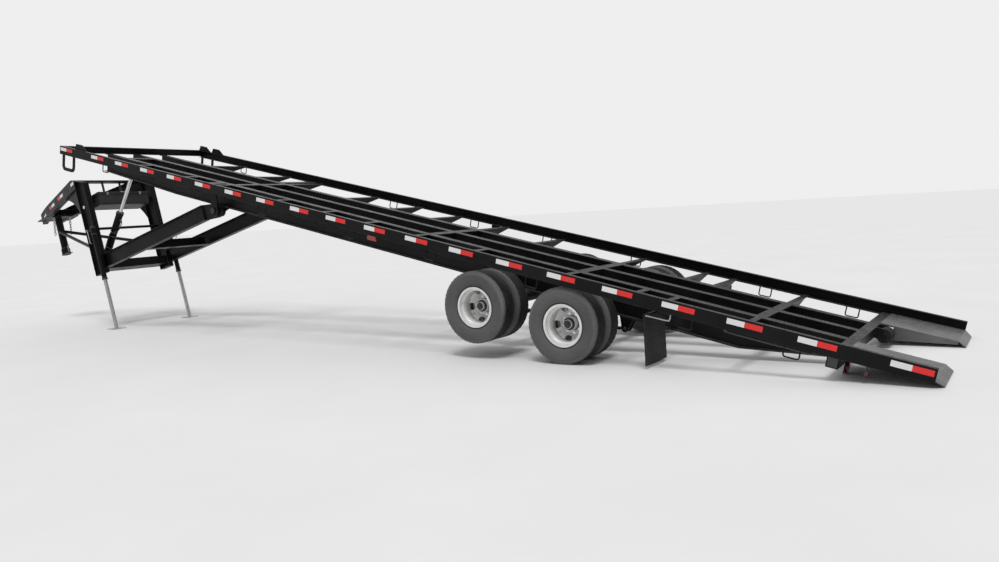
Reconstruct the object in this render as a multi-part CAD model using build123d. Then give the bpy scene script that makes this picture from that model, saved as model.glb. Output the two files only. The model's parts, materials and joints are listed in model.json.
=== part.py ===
from build123d import *
import math
import os

# Gooseneck tilt bed trailer, in millimetres, with its bed tilted until the
# fork tips touch the ground.
# Row frame: +X rearward, +Y to the trailer's right, +Z up, ground at Z 0.
# Bed frame: x from the bed's front end, z from the top of the outer rails.
# Neck frame: origin on the hinge pin, x rearward along the neck beams.

# Bed frame outline
bed_length = 12510.0
bed_half_width = 1295.0
deck_drop = 105.0
rail_height = 127.0
rail_flange = 50.0
rail_web = 6.0
rail_flange_thickness = 8.0
nose_plate_length = 70.0
rail_length = bed_length - nose_plate_length
overrun = 20.0
seat_gap = 0.3

# Main beams and centre beam
main_beam_y = 500.0
main_flange = 102.0
main_web = 8.0
main_flange_thickness = 11.0
main_depth = 345.0
main_front_depth = 285.0
main_rear_depth = 180.0
main_front_taper = 1900.0
main_rear_taper = 930.0
centre_beam_width = 100.0
centre_beam_depth = 150.0
centre_beam_wall = 6.0

# Crossmembers, outriggers and rear crossbar
cross_width = 100.0
cross_depth = 80.0
cross_wall = 8.0
outrigger_width = 60.0
outrigger_web = 10.0
outrigger_root_depth = 220.0
outrigger_low_depth = 110.0
# Share of the bed length, and 1 where the web is deep or 0 where a tyre is near
outrigger_shares = (
    (0.1015, 1),
    (0.1918, 1),
    (0.2504, 1),
    (0.3493, 1),
    (0.4181, 1),
    (0.4772, 1),
    (0.5416, 1),
    (0.6115, 1),
    (0.7080, 0),
    (0.7730, 1),
    (0.8002, 1),
    (0.8658, 1),
)
crossmember_shares = (0.2504, 0.5416, 0.7080, 0.8658)
fork_length = 831.0
crossbar_width = 100.0
crossbar_depth = 110.0
crossbar_wall = 8.0

# Forks
fork_inner_y = 585.0
fork_plate_drop = 95.0
fork_plate = 10.0
fork_web = 8.0
fork_root_depth = 165.0
fork_tip_depth = 35.0
fork_flange = 60.0
nose_drop = 40.0
nose_corner = 90.0
fork_window_length = 120.0
fork_window_height = 70.0

# Rear roller
roller_radius = 70.0
roller_length = 190.0
roller_y = 465.0
roller_pin_radius = 16.0
roller_ear = 12.0
roller_ear_gap = 5.0
roller_drop = 75.0
roller_gap = 18.0

# Rail fittings
stake_bar_radius = 7.0
stake_loop_width = 150.0
stake_loop_depth = 108.0
stake_loop_bend = 22.0
stake_loop_shares = (0.0963, 0.3722, 0.4944, 0.5915, 0.6969, 0.8293, 0.9067)
front_loop_start = 45.0
front_loop_width = 335.0
front_loop_depth = 243.0
front_loop_bar = 50.0
front_loop_thickness = 16.0
front_loop_bend = 80.0
stop_start = 350.0
stop_length = 320.0
stop_height = 80.0
stop_thickness = 12.0
stop_crest_share = 0.35

# Hinge between neck and bed
hinge_x = 2960.0
hinge_z = -507.0
fold_angle = 27.1
hinge_pin_radius = 30.0
hinge_clearance = 0.5
lug_radius = 90.0
lug_top_half = 170.0
inner_lug_y = 531.0
outer_lug_y = 660.0
lug_thickness = 20.0
hinge_pin_end = 10.0
hinge_outrigger_web_gap = 60.0

# Axles and wheels
front_axle_x = 8063.0
front_axle_z = -605.0
rear_axle_x = 9138.0
rear_axle_z = -526.0
tyre_radius = 391.0
tyre_width = 235.0
tread_width = 196.0
shoulder_drop = 12.0
sidewall_height = 92.0
outer_tyre_y = 1172.0
dual_spacing = 290.0
rim_radius = 203.0
rim_wall = 8.0
rim_flange_radius = 220.0
rim_half_width = 88.0
disc_thickness = 9.0
disc_bolt_radius = 125.0
disc_rise = 85.0
hand_holes = 5
hand_hole_radius = 26.0
hand_hole_half_slot = 14.0
hand_hole_turn_share = 0.5
hand_hole_circle = 160.0
hub_radius = 72.0
hub_length = 78.0
hub_cap_radius = 45.0
hub_cap_length = 38.0
drum_radius = 160.0
drum_length = 150.0
drum_neck = 60.0
spindle_radius = 38.0
spindle_clearance = 0.5
spindle_end_gap = 20.0
axle_radius = 64.0
backing_plate_radius = 150.0
backing_plate = 8.0
backing_gap = 7.0

# Leaf springs, hangers and equalizers
spring_y = main_beam_y
spring_width = 76.0
leaf_thickness = 11.0
leaf_count = 5
leaf_step_share = 0.17
spring_half_span = 363.0
spring_sag = 38.0
spring_eye_radius = 24.0
spring_pin_radius = 12.0
spring_seat = 14.0
spring_seat_length = 130.0
hanger_cheek = 10.0
hanger_gap = 3.0
hanger_half_top = 80.0
hanger_radius = 38.0
equalizer_thickness = 40.0
equalizer_radius = 40.0
shackle_length = 47.0
shackle_radius = 18.0

# Mud flaps and lamps
flap_x = 9970.0
flap_inner_y = 770.0
flap_width = 500.0
flap_height = 470.0
flap_thickness = 10.0
flap_bar_radius = 12.0
flap_bar_z = -205.0
marker_share = 0.5237
marker_length = 130.0
marker_height = 52.0
marker_depth = 24.0
marker_bracket = 6.0
tail_lamp_y = 900.0
tail_lamp_radius = 47.0
tail_lamp_depth = 26.0
tail_bracket = 6.0

# Tilt cylinder
cylinder_y = -360.0
base_pin_x = -3510.0
base_pin_z = 128.0
rod_pin_x = 528.0
rod_pin_z = -245.0
barrel_radius = 55.0
barrel_wall = 8.0
barrel_length = 1020.0
barrel_base = 60.0
gland_radius = 60.0
gland_length = 45.0
rod_radius = 28.0
rod_length = 1000.0
rod_clearance = 0.5
eye_radius = 40.0
eye_width = 60.0
base_eye_width = 124.0
cylinder_pin_radius = 20.0
clevis_gap = 2.0
clevis_ear = 16.0
rod_ear_gap = 7.0
rod_bracket_width = 120.0
rod_bracket_depth = 75.0

# Neck
neck_y = 605.0
neck_width = 94.0
neck_web = 10.0
neck_flange_thickness = 12.0
neck_top = 166.0
neck_bottom = -64.0
neck_end = -280.0
neck_hinge_plate = 40.0
neck_hinge_radius = 105.0
neck_hinge_root = 260.0
post_front = -3370.0
post_rear = -3100.0
post_bottom = -130.0
post_top = 1532.0
post_top_fall = 105.0
lower_beam_half_depth = 70.0
lower_beam_wall = 10.0
neck_cross_x = -1920.0
neck_cross_width = 100.0
neck_cross_depth = 130.0
neck_cross_wall = 8.0
top_beam_width = 110.0
top_beam_depth = 60.0
cross_tube_x = -3200.0
cross_tube_z = 640.0
cross_tube_radius = 22.0

# Nose and coupler
nose_top = 1590.0
nose_end_x = -5480.0
nose_end_y = 135.0
nose_width = 84.0
nose_web = 12.0
nose_depth = 190.0
nose_straight_share = 0.75
nose_fall = 36.0
gusset_thickness = 14.0
gusset_low_z = 690.0
gusset_reach = 750.0
gusset_bow_share = 0.34
coupler_x = -5250.0
coupler_radius = 62.0
coupler_top = 1570.0
coupler_bottom = 700.0
coupler_foot_radius = 75.0
coupler_foot = 110.0
ball_radius = 30.0
ball_socket_depth = 55.0
coupler_plate = 14.0
coupler_plate_length = 330.0
coupler_plate_top = 1530.0
coupler_plate_low = 1410.0
brace_radius = 28.0
brace_coupler_y = 34.0
brace_coupler_z = 1150.0
brace_post_y = 590.0
brace_post_z = 360.0

# Safety chains
chain_links = 7
chain_bar_radius = 6.0
chain_pitch = 46.0
chain_inner_width = 18.0
chain_y = 150.0
chain_x = -5120.0

# Pump box
box_front = -3460.0
box_rear = -3060.0
box_half_width = 450.0
box_bottom = 1025.0
box_top = 1235.0
box_round = 50.0
box_wall = 5.0
box_lid = 6.0
box_lid_reach = 12.0
box_lid_lip = 30.0
box_hanger_x = -3240.0
box_hanger_thickness = 10.0
box_hanger_height = 90.0

# Jacks
jack_x = -3062.0
jack_radius = 38.0
jack_leg_radius = 30.0
jack_top = 640.0
jack_bottom = -260.0
jack_bracket_low = -50.0
jack_bracket_top = 150.0
jack_gap = 5.0
jack_foot = 210.0
jack_foot_thickness = 12.0
crank_radius = 9.0
crank_length = 150.0
crank_drop = 60.0

main_beam_end = bed_length - fork_length - crossbar_width / 2
main_bottom = -deck_drop - main_depth
fork_tip_z = -fork_plate_drop - nose_drop - fork_plate
jack_y = neck_y + neck_width / 2 + jack_gap + jack_radius
wheel_mating_y = outer_tyre_y - dual_spacing / 2

# The ground touches the fork tips and the rear tyres, which gives the tilt.
tip_run = bed_length - rear_axle_x
tip_rise = rear_axle_z - fork_tip_z
tilt_angle = math.degrees(
    math.asin(tyre_radius / math.hypot(tip_run, tip_rise)) - math.atan2(tip_rise, tip_run)
)
tilt = math.radians(tilt_angle)
bed_lift = bed_length * math.sin(tilt) - fork_tip_z * math.cos(tilt)
bed_place = Location((0, 0, bed_lift), (0, tilt_angle, 0))
neck_place = bed_place * Location((hinge_x, 0, hinge_z), (0, -fold_angle, 0))


def block(x, y, z):
    """A block between low and high values on each axis."""
    size = Box(x[1] - x[0], y[1] - y[0], z[1] - z[0])
    return Pos((x[0] + x[1]) / 2, (y[0] + y[1]) / 2, (z[0] + z[1]) / 2) * size


def side_plate(outline, y):
    """An outline of (x, z) points or edges, as thick as from y[0] to y[1]."""
    plane = Plane.XZ.offset(-y[1])
    face = make_face(plane * Polyline(*outline, close=True))
    return extrude(face, amount=y[1] - y[0], dir=(0, -1, 0))


def cross_plate(outline, x):
    """An outline of (y, z) points, as thick as from x[0] to x[1]."""
    face = make_face(Plane.YZ.offset(x[0]) * Polyline(*outline, close=True))
    return extrude(face, amount=x[1] - x[0], dir=(1, 0, 0))


def rod(start, end, radius):
    """A round bar between two points."""
    axis = Vector(*end) - Vector(*start)
    bar = Cylinder(radius, axis.length, align=(Align.CENTER, Align.CENTER, Align.MIN))
    return Plane(origin=start, z_dir=axis) * bar


def y_rod(x, z, y, radius):
    """A round bar along y."""
    return rod((x, y[0], z), (x, y[1], z), radius)


def both_sides(shape):
    """A piece and its mirror image on the other side."""
    return [shape, mirror(shape, about=Plane.XZ)]


def i_beam(stations, top, centre_y, width, web, flange):
    """An I-beam along x, from (x, bottom z) stations under a level top."""
    low_y = centre_y - width / 2
    high_y = centre_y + width / 2
    ends = (stations[0][0], stations[-1][0])
    outline = [(ends[0], top), (ends[1], top)] + list(reversed(stations))
    beam = side_plate(outline, (low_y, high_y))
    inner = [(x, bottom + flange) for x, bottom in stations]
    inner[0] = (inner[0][0] - overrun, inner[0][1])
    inner[-1] = (inner[-1][0] + overrun, inner[-1][1])
    pocket = [(inner[0][0], top - flange), (inner[-1][0], top - flange)]
    pocket += list(reversed(inner))
    left = side_plate(pocket, (low_y - overrun, centre_y - web / 2))
    right = side_plate(pocket, (centre_y + web / 2, high_y + overrun))
    return beam - left - right


def lug(pin, radius, top, half_top, y, hole):
    """A plate that hangs from a level edge and ends round about its pin."""
    x, z = pin
    sides = [(x - half_top, top), (x + half_top, top), (x + radius, z), (x - radius, z)]
    plate = side_plate(sides, y) + y_rod(x, z, y, radius)
    wide = (y[0] - overrun, y[1] + overrun)
    plate = plate - block((x - half_top - radius, x + half_top + radius), wide, (top, top + 2 * radius))
    return plate - y_rod(x, z, wide, hole)


def outer_rail():
    """Side rail of the bed, a channel with its web outward."""
    inner_y = bed_half_width - rail_flange
    solid = block((0, rail_length), (inner_y, bed_half_width), (-rail_height, 0))
    hollow = block(
        (-overrun, rail_length + overrun),
        (inner_y - overrun, bed_half_width - rail_web),
        (rail_flange_thickness - rail_height, -rail_flange_thickness),
    )
    return solid - hollow


def main_beam():
    """Lengthwise I-beam that tapers at both ends."""
    stations = [
        (0, -deck_drop - main_front_depth),
        (main_front_taper, main_bottom),
        (main_beam_end - main_rear_taper, main_bottom),
        (main_beam_end, -deck_drop - main_rear_depth),
    ]
    args = (main_flange, main_web, main_flange_thickness)
    return i_beam(stations, -deck_drop, main_beam_y, *args)


def centre_beam():
    """Box beam between the main beams."""
    half = centre_beam_width / 2
    low = -deck_drop - centre_beam_depth
    tube = block((0, main_beam_end), (-half, half), (low, -deck_drop))
    hollow = block(
        (-overrun, main_beam_end + overrun),
        (centre_beam_wall - half, half - centre_beam_wall),
        (low + centre_beam_wall, -deck_drop - centre_beam_wall),
    )
    return tube - hollow


def front_header(rails):
    """Channel across the bed's front, which stands on the main beams."""
    inside = bed_half_width - rail_web
    solid = block((0, rail_flange), (-inside, inside), (-deck_drop, 0))
    hollow = block(
        (rail_web, rail_flange + overrun),
        (-inside - overrun, inside + overrun),
        (rail_flange_thickness - deck_drop, -rail_flange_thickness),
    )
    header = solid - hollow
    for rail in rails:
        header = header - rail
    return header


def crossmember(x, low_y, high_y, width, depth):
    """Inverted channel, let in under the main beam's top flange."""
    start = x - width / 2
    channel = block((start, start + width), (low_y, high_y), (-deck_drop - depth, -deck_drop))
    hollow = block(
        (start + cross_wall, start + width - cross_wall),
        (low_y - overrun, high_y + overrun),
        (-deck_drop - depth - overrun, -deck_drop - cross_wall),
    )
    notch = block(
        (start - overrun, start + width + overrun),
        (main_beam_y - main_flange / 2, high_y + overrun),
        (-deck_drop - main_flange_thickness, -deck_drop + overrun),
    )
    return channel - hollow - notch


def outrigger(x, root_depth, width, web):
    """Tapered T-shaped bracket from the main beam to the side rail."""
    flange_low = -deck_drop - main_flange_thickness
    flange = block(
        (x - width / 2, x + width / 2),
        (main_beam_y + main_flange / 2, bed_half_width - rail_web),
        (flange_low, -deck_drop),
    )
    web_root = main_beam_y + main_web / 2
    web_tip = bed_half_width - rail_flange
    outline = [
        (web_root, flange_low),
        (web_tip, flange_low),
        (web_tip, -rail_height),
        (web_root, -deck_drop - root_depth),
    ]
    return flange + cross_plate(outline, (x - web / 2, x + web / 2))


def hinge_outrigger():
    """Deep bracket over the hinge, with two webs."""
    half_gap = hinge_outrigger_web_gap / 2
    front = outrigger(hinge_x - half_gap, outrigger_root_depth, outrigger_width, outrigger_web)
    rear = outrigger(hinge_x + half_gap, outrigger_root_depth, outrigger_width, outrigger_web)
    return front + rear


def rear_crossbar(rails):
    """Tube across the bed's rear, with the ears that carry the roller."""
    centre = bed_length - fork_length
    half = crossbar_width / 2
    inside = bed_half_width - rail_web
    low = -deck_drop - crossbar_depth
    bar = block((centre - half, centre + half), (-inside, inside), (low, -deck_drop))
    hollow = block(
        (centre - half + crossbar_wall, centre + half - crossbar_wall),
        (-inside - overrun, inside + overrun),
        (low + crossbar_wall, -deck_drop - crossbar_wall),
    )
    bar = bar - hollow
    for rail in rails:
        bar = bar - rail
    pin_x = roller_pin_x
    for side in (-1, 1):
        inner = roller_y + side * (roller_length / 2 + roller_ear_gap)
        outer = inner + side * roller_ear
        y = (min(inner, outer), max(inner, outer))
        ear = block((centre + half, pin_x), y, (roller_pin_z - roller_pin_radius * 2, -deck_drop))
        bar = bar + ear + y_rod(pin_x, roller_pin_z, y, roller_pin_radius * 2)
    reach = roller_length / 2 + roller_ear_gap + roller_ear
    pin = y_rod(pin_x, roller_pin_z, (roller_y - reach, roller_y + reach), roller_pin_radius)
    return bar + pin


def rear_roller():
    """Roller behind the crossbar that carries a load over the edge."""
    y = (roller_y - roller_length / 2, roller_y + roller_length / 2)
    drum = y_rod(roller_pin_x, roller_pin_z, y, roller_radius)
    bore = y_rod(
        roller_pin_x,
        roller_pin_z,
        (y[0] - overrun, y[1] + overrun),
        roller_pin_radius + spindle_clearance,
    )
    return drum - bore


def fork():
    """Flat-topped fork at the bed's rear with a bevelled nose."""
    start = bed_length - fork_length + crossbar_width / 2
    top = -fork_plate_drop
    low = top - fork_plate
    inside = bed_half_width - rail_web
    plate = block((start, rail_length), (fork_inner_y, inside), (low, top))
    nose_outline = [
        (rail_length, top),
        (bed_length, top - nose_drop),
        (bed_length, fork_tip_z),
        (rail_length, low),
    ]
    nose = side_plate(nose_outline, (fork_inner_y, bed_half_width))
    corner = Pos(bed_length, bed_half_width, (top + fork_tip_z) / 2) * Rot(0, 0, 45)
    nose = nose - corner * Box(nose_corner, nose_corner, nose_drop * 4)
    web_outline = [
        (start, low),
        (rail_length, low),
        (rail_length, low - fork_tip_depth + fork_plate),
        (start, low - fork_root_depth),
    ]
    web = side_plate(web_outline, (fork_inner_y, fork_inner_y + fork_web))
    slope = fork_web
    flange_outline = [
        (start, low - fork_root_depth + slope),
        (rail_length, low - fork_tip_depth + fork_plate + slope),
        (rail_length, low - fork_tip_depth + fork_plate),
        (start, low - fork_root_depth),
    ]
    flange = side_plate(flange_outline, (fork_inner_y, fork_inner_y + fork_flange))
    window = block(
        (start + fork_web, start + fork_web + fork_window_length),
        (fork_inner_y - overrun, fork_inner_y + fork_web + overrun),
        (low - fork_web - fork_window_height, low - fork_web),
    )
    return plate + nose + (web - window) + flange


def stake_loop(x):
    """U-shaped bar under the side rail."""
    y = bed_half_width - rail_flange / 2
    half = stake_loop_width / 2 - stake_bar_radius
    low = -rail_height - stake_loop_depth + stake_bar_radius
    corners = (
        (x - half, y, -rail_height),
        (x - half, y, low),
        (x + half, y, low),
        (x + half, y, -rail_height),
    )
    path = FilletPolyline(*corners, radius=stake_loop_bend)
    section = Plane(origin=corners[0], z_dir=(0, 0, -1)) * Circle(stake_bar_radius)
    return sweep(section, path=path)


def front_loop():
    """Tall rectangular loop under the front of the side rail."""
    end = front_loop_start + front_loop_width
    low = -rail_height - front_loop_depth
    middle_y = bed_half_width - rail_flange / 2
    y = (middle_y - front_loop_thickness / 2, middle_y + front_loop_thickness / 2)
    outer = side_plate(
        [(front_loop_start, -rail_height), (end, -rail_height), (end, low), (front_loop_start, low)],
        y,
    )
    outer = fillet(outer.edges().filter_by(Axis.Y).group_by(Axis.Z)[0], front_loop_bend)
    bar = front_loop_bar
    hole = side_plate(
        [
            (front_loop_start + bar, -rail_height + overrun),
            (end - bar, -rail_height + overrun),
            (end - bar, low + bar),
            (front_loop_start + bar, low + bar),
        ],
        (y[0] - overrun, y[1] + overrun),
    )
    hole = fillet(hole.edges().filter_by(Axis.Y).group_by(Axis.Z)[0], front_loop_bend - bar)
    return outer - hole


def rail_stop(start):
    """Humped stop plate on top of the side rail."""
    crest = start + stop_length * stop_crest_share
    inner = bed_half_width - rail_flange
    outline = [
        (start, 0),
        (crest - stop_height, stop_height),
        (crest + stop_height, stop_height),
        (start + stop_length, 0),
    ]
    return side_plate(outline, (inner, inner + stop_thickness))


def hinge_lugs():
    """Inner and outer lugs that carry one hinge pin."""
    hole = hinge_pin_radius
    pin = (hinge_x, hinge_z)
    inner_y = (inner_lug_y, inner_lug_y + lug_thickness)
    inner = lug(pin, lug_radius, main_bottom, lug_top_half, inner_y, hole)
    outer_y = (outer_lug_y, outer_lug_y + lug_thickness)
    span = bed_half_width - rail_flange - main_beam_y - main_web / 2
    fall = outrigger_root_depth + deck_drop - rail_height
    share = (outer_lug_y - main_beam_y - main_web / 2) / span
    top = -deck_drop - outrigger_root_depth + fall * share
    half_top = hinge_outrigger_web_gap / 2 + outrigger_web
    outer = lug(pin, lug_radius, top, half_top, outer_y, hole)
    return [inner, outer]


def hinge_pin():
    """Pin through both lugs and the neck."""
    y = (inner_lug_y - hinge_pin_end, outer_lug_y + lug_thickness + hinge_pin_end)
    return y_rod(hinge_x, hinge_z, y, hinge_pin_radius)


def revolved(profile, y):
    """A ring about the y axis from (y, radius) points or edges."""
    axis = Axis((0, 0, 0), (0, 1, 0))
    plane = Plane((0, y, 0), x_dir=(0, 1, 0), z_dir=(1, 0, 0))
    return revolve(make_face(plane * profile), axis=axis)


def tyre(y):
    """One tyre, with its tread, shoulders, sidewalls and bead."""
    bead_y = rim_half_width - rim_wall - seat_gap
    bead_r = rim_radius
    belly_r = tyre_radius - sidewall_height
    shoulder_r = tyre_radius - shoulder_drop
    shoulder_y = (tread_width + tyre_width) / 4
    lines = [
        Line((-bead_y, bead_r), (bead_y, bead_r)),
        Line((bead_y, bead_r), (bead_y, rim_flange_radius)),
        ThreePointArc((bead_y, rim_flange_radius), (tyre_width / 2, belly_r), (shoulder_y, shoulder_r)),
        Line((shoulder_y, shoulder_r), (tread_width / 2, tyre_radius)),
        Line((tread_width / 2, tyre_radius), (-tread_width / 2, tyre_radius)),
        Line((-tread_width / 2, tyre_radius), (-shoulder_y, shoulder_r)),
        ThreePointArc((-shoulder_y, shoulder_r), (-tyre_width / 2, belly_r), (-bead_y, rim_flange_radius)),
        Line((-bead_y, rim_flange_radius), (-bead_y, bead_r)),
    ]
    profile = Curve() + lines
    return revolved(profile, y)


def rim(y, face):
    """One rim with its dished disc, whose bolting face looks towards face."""
    seat = rim_radius - seat_gap
    inner = seat - rim_wall
    edge = rim_half_width
    lip = rim_flange_radius
    barrel = Polyline(
        (-edge, inner),
        (-edge, lip),
        (rim_wall - edge, lip),
        (rim_wall - edge, seat),
        (edge - rim_wall, seat),
        (edge - rim_wall, lip),
        (edge, lip),
        (edge, inner),
        close=True,
    )
    bolt_y = face * dual_spacing / 2
    back_y = bolt_y - face * disc_thickness
    root_y = bolt_y - face * disc_rise
    disc = Polyline(
        (bolt_y, hub_radius),
        (bolt_y, disc_bolt_radius),
        (root_y, inner + rim_wall / 2),
        (root_y - face * disc_thickness, inner + rim_wall / 2),
        (back_y, disc_bolt_radius - disc_thickness),
        (back_y, hub_radius),
        close=True,
    )
    plate = revolved(disc, y)
    for index in range(hand_holes):
        turn = (index + hand_hole_turn_share) * 2 * math.pi / hand_holes
        slot = SlotCenterToCenter(2 * hand_hole_half_slot, 2 * hand_hole_radius)
        x = hand_hole_circle * math.sin(turn)
        z = hand_hole_circle * math.cos(turn)
        tangent = (math.cos(turn), 0, -math.sin(turn))
        plane = Plane(origin=(x, y - dual_spacing, z), x_dir=tangent, z_dir=(0, 1, 0))
        plate = plate - extrude(plane * slot, amount=2 * dual_spacing)
    return revolved(barrel, y) + plate


def hub():
    """Hub and brake drum, bored for the spindle."""
    mating = wheel_mating_y
    outer_end = mating + disc_thickness + hub_length
    inner_end = mating - disc_thickness - drum_neck
    drum_end = inner_end - drum_length
    body = y_rod(0, 0, (inner_end, outer_end), hub_radius)
    cap = y_rod(0, 0, (outer_end, outer_end + hub_cap_length), hub_cap_radius)
    drum = y_rod(0, 0, (drum_end, inner_end), drum_radius)
    bore = y_rod(0, 0, (drum_end - overrun, outer_end), spindle_radius + spindle_clearance)
    return body + cap + drum - bore


def wheel_rims():
    """Both rims of a twin wheel, back to back on one hub."""
    outer = rim(outer_tyre_y, -1)
    inner = rim(outer_tyre_y - dual_spacing, 1)
    return outer + inner + hub()


def axle():
    """Axle tube with backing plates and spindles."""
    drum_end = wheel_mating_y - disc_thickness - drum_neck - drum_length
    plate_end = drum_end - backing_gap
    spindle_end = wheel_mating_y + disc_thickness + hub_length - spindle_end_gap
    tube = y_rod(0, 0, (-plate_end, plate_end), axle_radius)
    bar = tube + y_rod(0, 0, (-spindle_end, spindle_end), spindle_radius)
    for y in ((plate_end - backing_plate, plate_end), (-plate_end, backing_plate - plate_end)):
        bar = bar + y_rod(0, 0, y, backing_plate_radius)
    return bar


def leaf_spring():
    """Leaf pack under the axle, with an eye at each end of the main leaf."""
    y = (spring_y - spring_width / 2, spring_y + spring_width / 2)
    low = -axle_radius - spring_seat - leaf_thickness
    radius = spring_arc_radius
    pack = None
    for index in range(leaf_count):
        half = spring_half_span * (1 - leaf_step_share * index)
        inner_radius = radius + index * leaf_thickness
        outer_radius = inner_radius + leaf_thickness
        centre_z = low + leaf_thickness + radius
        turn = math.asin(half / outer_radius)
        points = []
        for r, sign in ((inner_radius, -1), (outer_radius, 1)):
            ends = [(sign * s * r * math.sin(turn), centre_z - r * math.cos(turn)) for s in (1, -1)]
            points.append((ends[0], (0, centre_z - r), ends[1]))
        upper, lower = points
        outline = Curve() + [
            ThreePointArc(*upper),
            Line(upper[2], lower[0]),
            ThreePointArc(*lower),
            Line(lower[2], upper[0]),
        ]
        leaf = make_face(Plane.XZ.offset(-y[1]) * outline)
        leaf = extrude(leaf, amount=y[1] - y[0], dir=(0, -1, 0))
        pack = leaf if pack is None else pack + leaf
    for side in (-1, 1):
        eye_z = spring_eye_z
        pack = pack + y_rod(side * spring_half_span, eye_z, y, spring_eye_radius)
    for side in (-1, 1):
        hole = (y[0] - overrun, y[1] + overrun)
        pack = pack - y_rod(side * spring_half_span, spring_eye_z, hole, spring_pin_radius + seat_gap)
    return pack


def spring_seat_block():
    """Seat between the axle tube and its spring."""
    y = (spring_y - spring_width / 2, spring_y + spring_width / 2)
    half = spring_seat_length / 2
    wide = (y[0] - overrun, y[1] + overrun)
    radius = spring_arc_radius
    low = -axle_radius - spring_seat
    seat = block((-half, half), y, (low - spring_seat, 0))
    seat = seat & y_rod(0, low + radius, wide, radius - seat_gap)
    return seat - y_rod(0, 0, wide, axle_radius + seat_gap)


def spring_hanger(x, z):
    """Two cheeks under the main beam with the pin between them."""
    cheek_in = spring_width / 2 + hanger_gap
    pieces = None
    for side in (-1, 1):
        near = spring_y + side * cheek_in
        far = near + side * hanger_cheek
        y = (min(near, far), max(near, far))
        cheek = lug((x, z), hanger_radius, main_bottom, hanger_half_top, y, spring_pin_radius / 2)
        pieces = cheek if pieces is None else pieces + cheek
    reach = cheek_in + hanger_cheek
    pin = y_rod(x, z, (spring_y - reach, spring_y + reach), spring_pin_radius)
    top = block(
        (x - hanger_half_top, x + hanger_half_top),
        (spring_y - reach, spring_y + reach),
        (main_bottom - hanger_cheek, main_bottom),
    )
    return pieces + pin + top


def equalizer():
    """Rocker that shares the load between the two springs of a side."""
    y = (spring_y - equalizer_thickness / 2, spring_y + equalizer_thickness / 2)
    front = (front_axle_x + spring_half_span, front_axle_z + spring_eye_z)
    rear = (rear_axle_x - spring_half_span, rear_axle_z + spring_eye_z)
    pivot = equalizer_pivot
    front_end = (front[0] + shackle_length, front[1])
    rear_end = (rear[0] - shackle_length, rear[1])
    outline = [
        front_end,
        (pivot[0], pivot[1] + equalizer_radius),
        rear_end,
        (pivot[0], pivot[1] - equalizer_radius),
    ]
    rocker = side_plate(outline, y) + y_rod(*pivot, y, equalizer_radius)
    for end in (front_end, rear_end):
        rocker = rocker + y_rod(*end, y, equalizer_radius / 2)
    hole = (y[0] - overrun, y[1] + overrun)
    for pin in (front_end, pivot, rear_end):
        rocker = rocker - y_rod(*pin, hole, spring_pin_radius + seat_gap)
    return rocker


def spring_shackle(eye_x, eye_z, towards):
    """Two links and two pins that join a spring's eye to the equalizer."""
    cheek_in = spring_width / 2 + hanger_gap
    reach = cheek_in + hanger_cheek
    far_x = eye_x + towards * shackle_length
    ends = (min(eye_x, far_x), max(eye_x, far_x))
    shackle = None
    for side in (-1, 1):
        near = spring_y + side * cheek_in
        far = near + side * hanger_cheek
        y = (min(near, far), max(near, far))
        link = block(ends, y, (eye_z - shackle_radius, eye_z + shackle_radius))
        link = link + y_rod(eye_x, eye_z, y, shackle_radius) + y_rod(far_x, eye_z, y, shackle_radius)
        shackle = link if shackle is None else shackle + link
    for x in ends:
        shackle = shackle + y_rod(x, eye_z, (spring_y - reach, spring_y + reach), spring_pin_radius)
    return shackle


def mud_flap():
    """Rubber flap that hangs plumb from its rod."""
    y = (flap_inner_y, flap_inner_y + flap_width)
    half = flap_thickness / 2
    flap = block((-half, half), y, (-flap_bar_radius - flap_height, -flap_bar_radius))
    return Pos(flap_x, 0, flap_bar_z) * Rot(0, -tilt_angle, 0) * flap


def flap_hanger():
    """Rod that carries a mud flap from the main beam outwards."""
    start = main_beam_y + main_web / 2
    end = flap_inner_y + flap_width
    return y_rod(flap_x, flap_bar_z, (start, end), flap_bar_radius)


def side_marker():
    """Red lamp on a plate under the side rail."""
    x = marker_share * bed_length
    half = marker_length / 2
    face = bed_half_width - rail_flange / 2
    z = (-rail_height - marker_height, -rail_height)
    return block((x - half, x + half), (face - marker_bracket, face), z)


def side_marker_lens():
    """Lens of the side lamp."""
    x = marker_share * bed_length
    half = marker_length / 2
    face = bed_half_width - rail_flange / 2
    z = (-rail_height - marker_height, -rail_height)
    lens = block((x - half, x + half), (face, face + marker_depth), z)
    return fillet(lens.edges().filter_by(Axis.Y), marker_height / 3)


def tail_lamp_bracket():
    """Plate under the rear crossbar."""
    x = bed_length - fork_length + crossbar_width / 2
    top = -deck_drop - crossbar_depth
    reach = tail_lamp_radius + tail_bracket
    y = (tail_lamp_y - reach, tail_lamp_y + reach)
    return block((x - tail_bracket, x), y, (top - 2 * reach, top))


def tail_lamp():
    """Round red tail lamp, which looks rearward."""
    x = bed_length - fork_length + crossbar_width / 2
    z = -deck_drop - crossbar_depth - tail_lamp_radius - tail_bracket
    return rod((x, tail_lamp_y, z), (x + tail_lamp_depth, tail_lamp_y, z), tail_lamp_radius)


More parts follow.
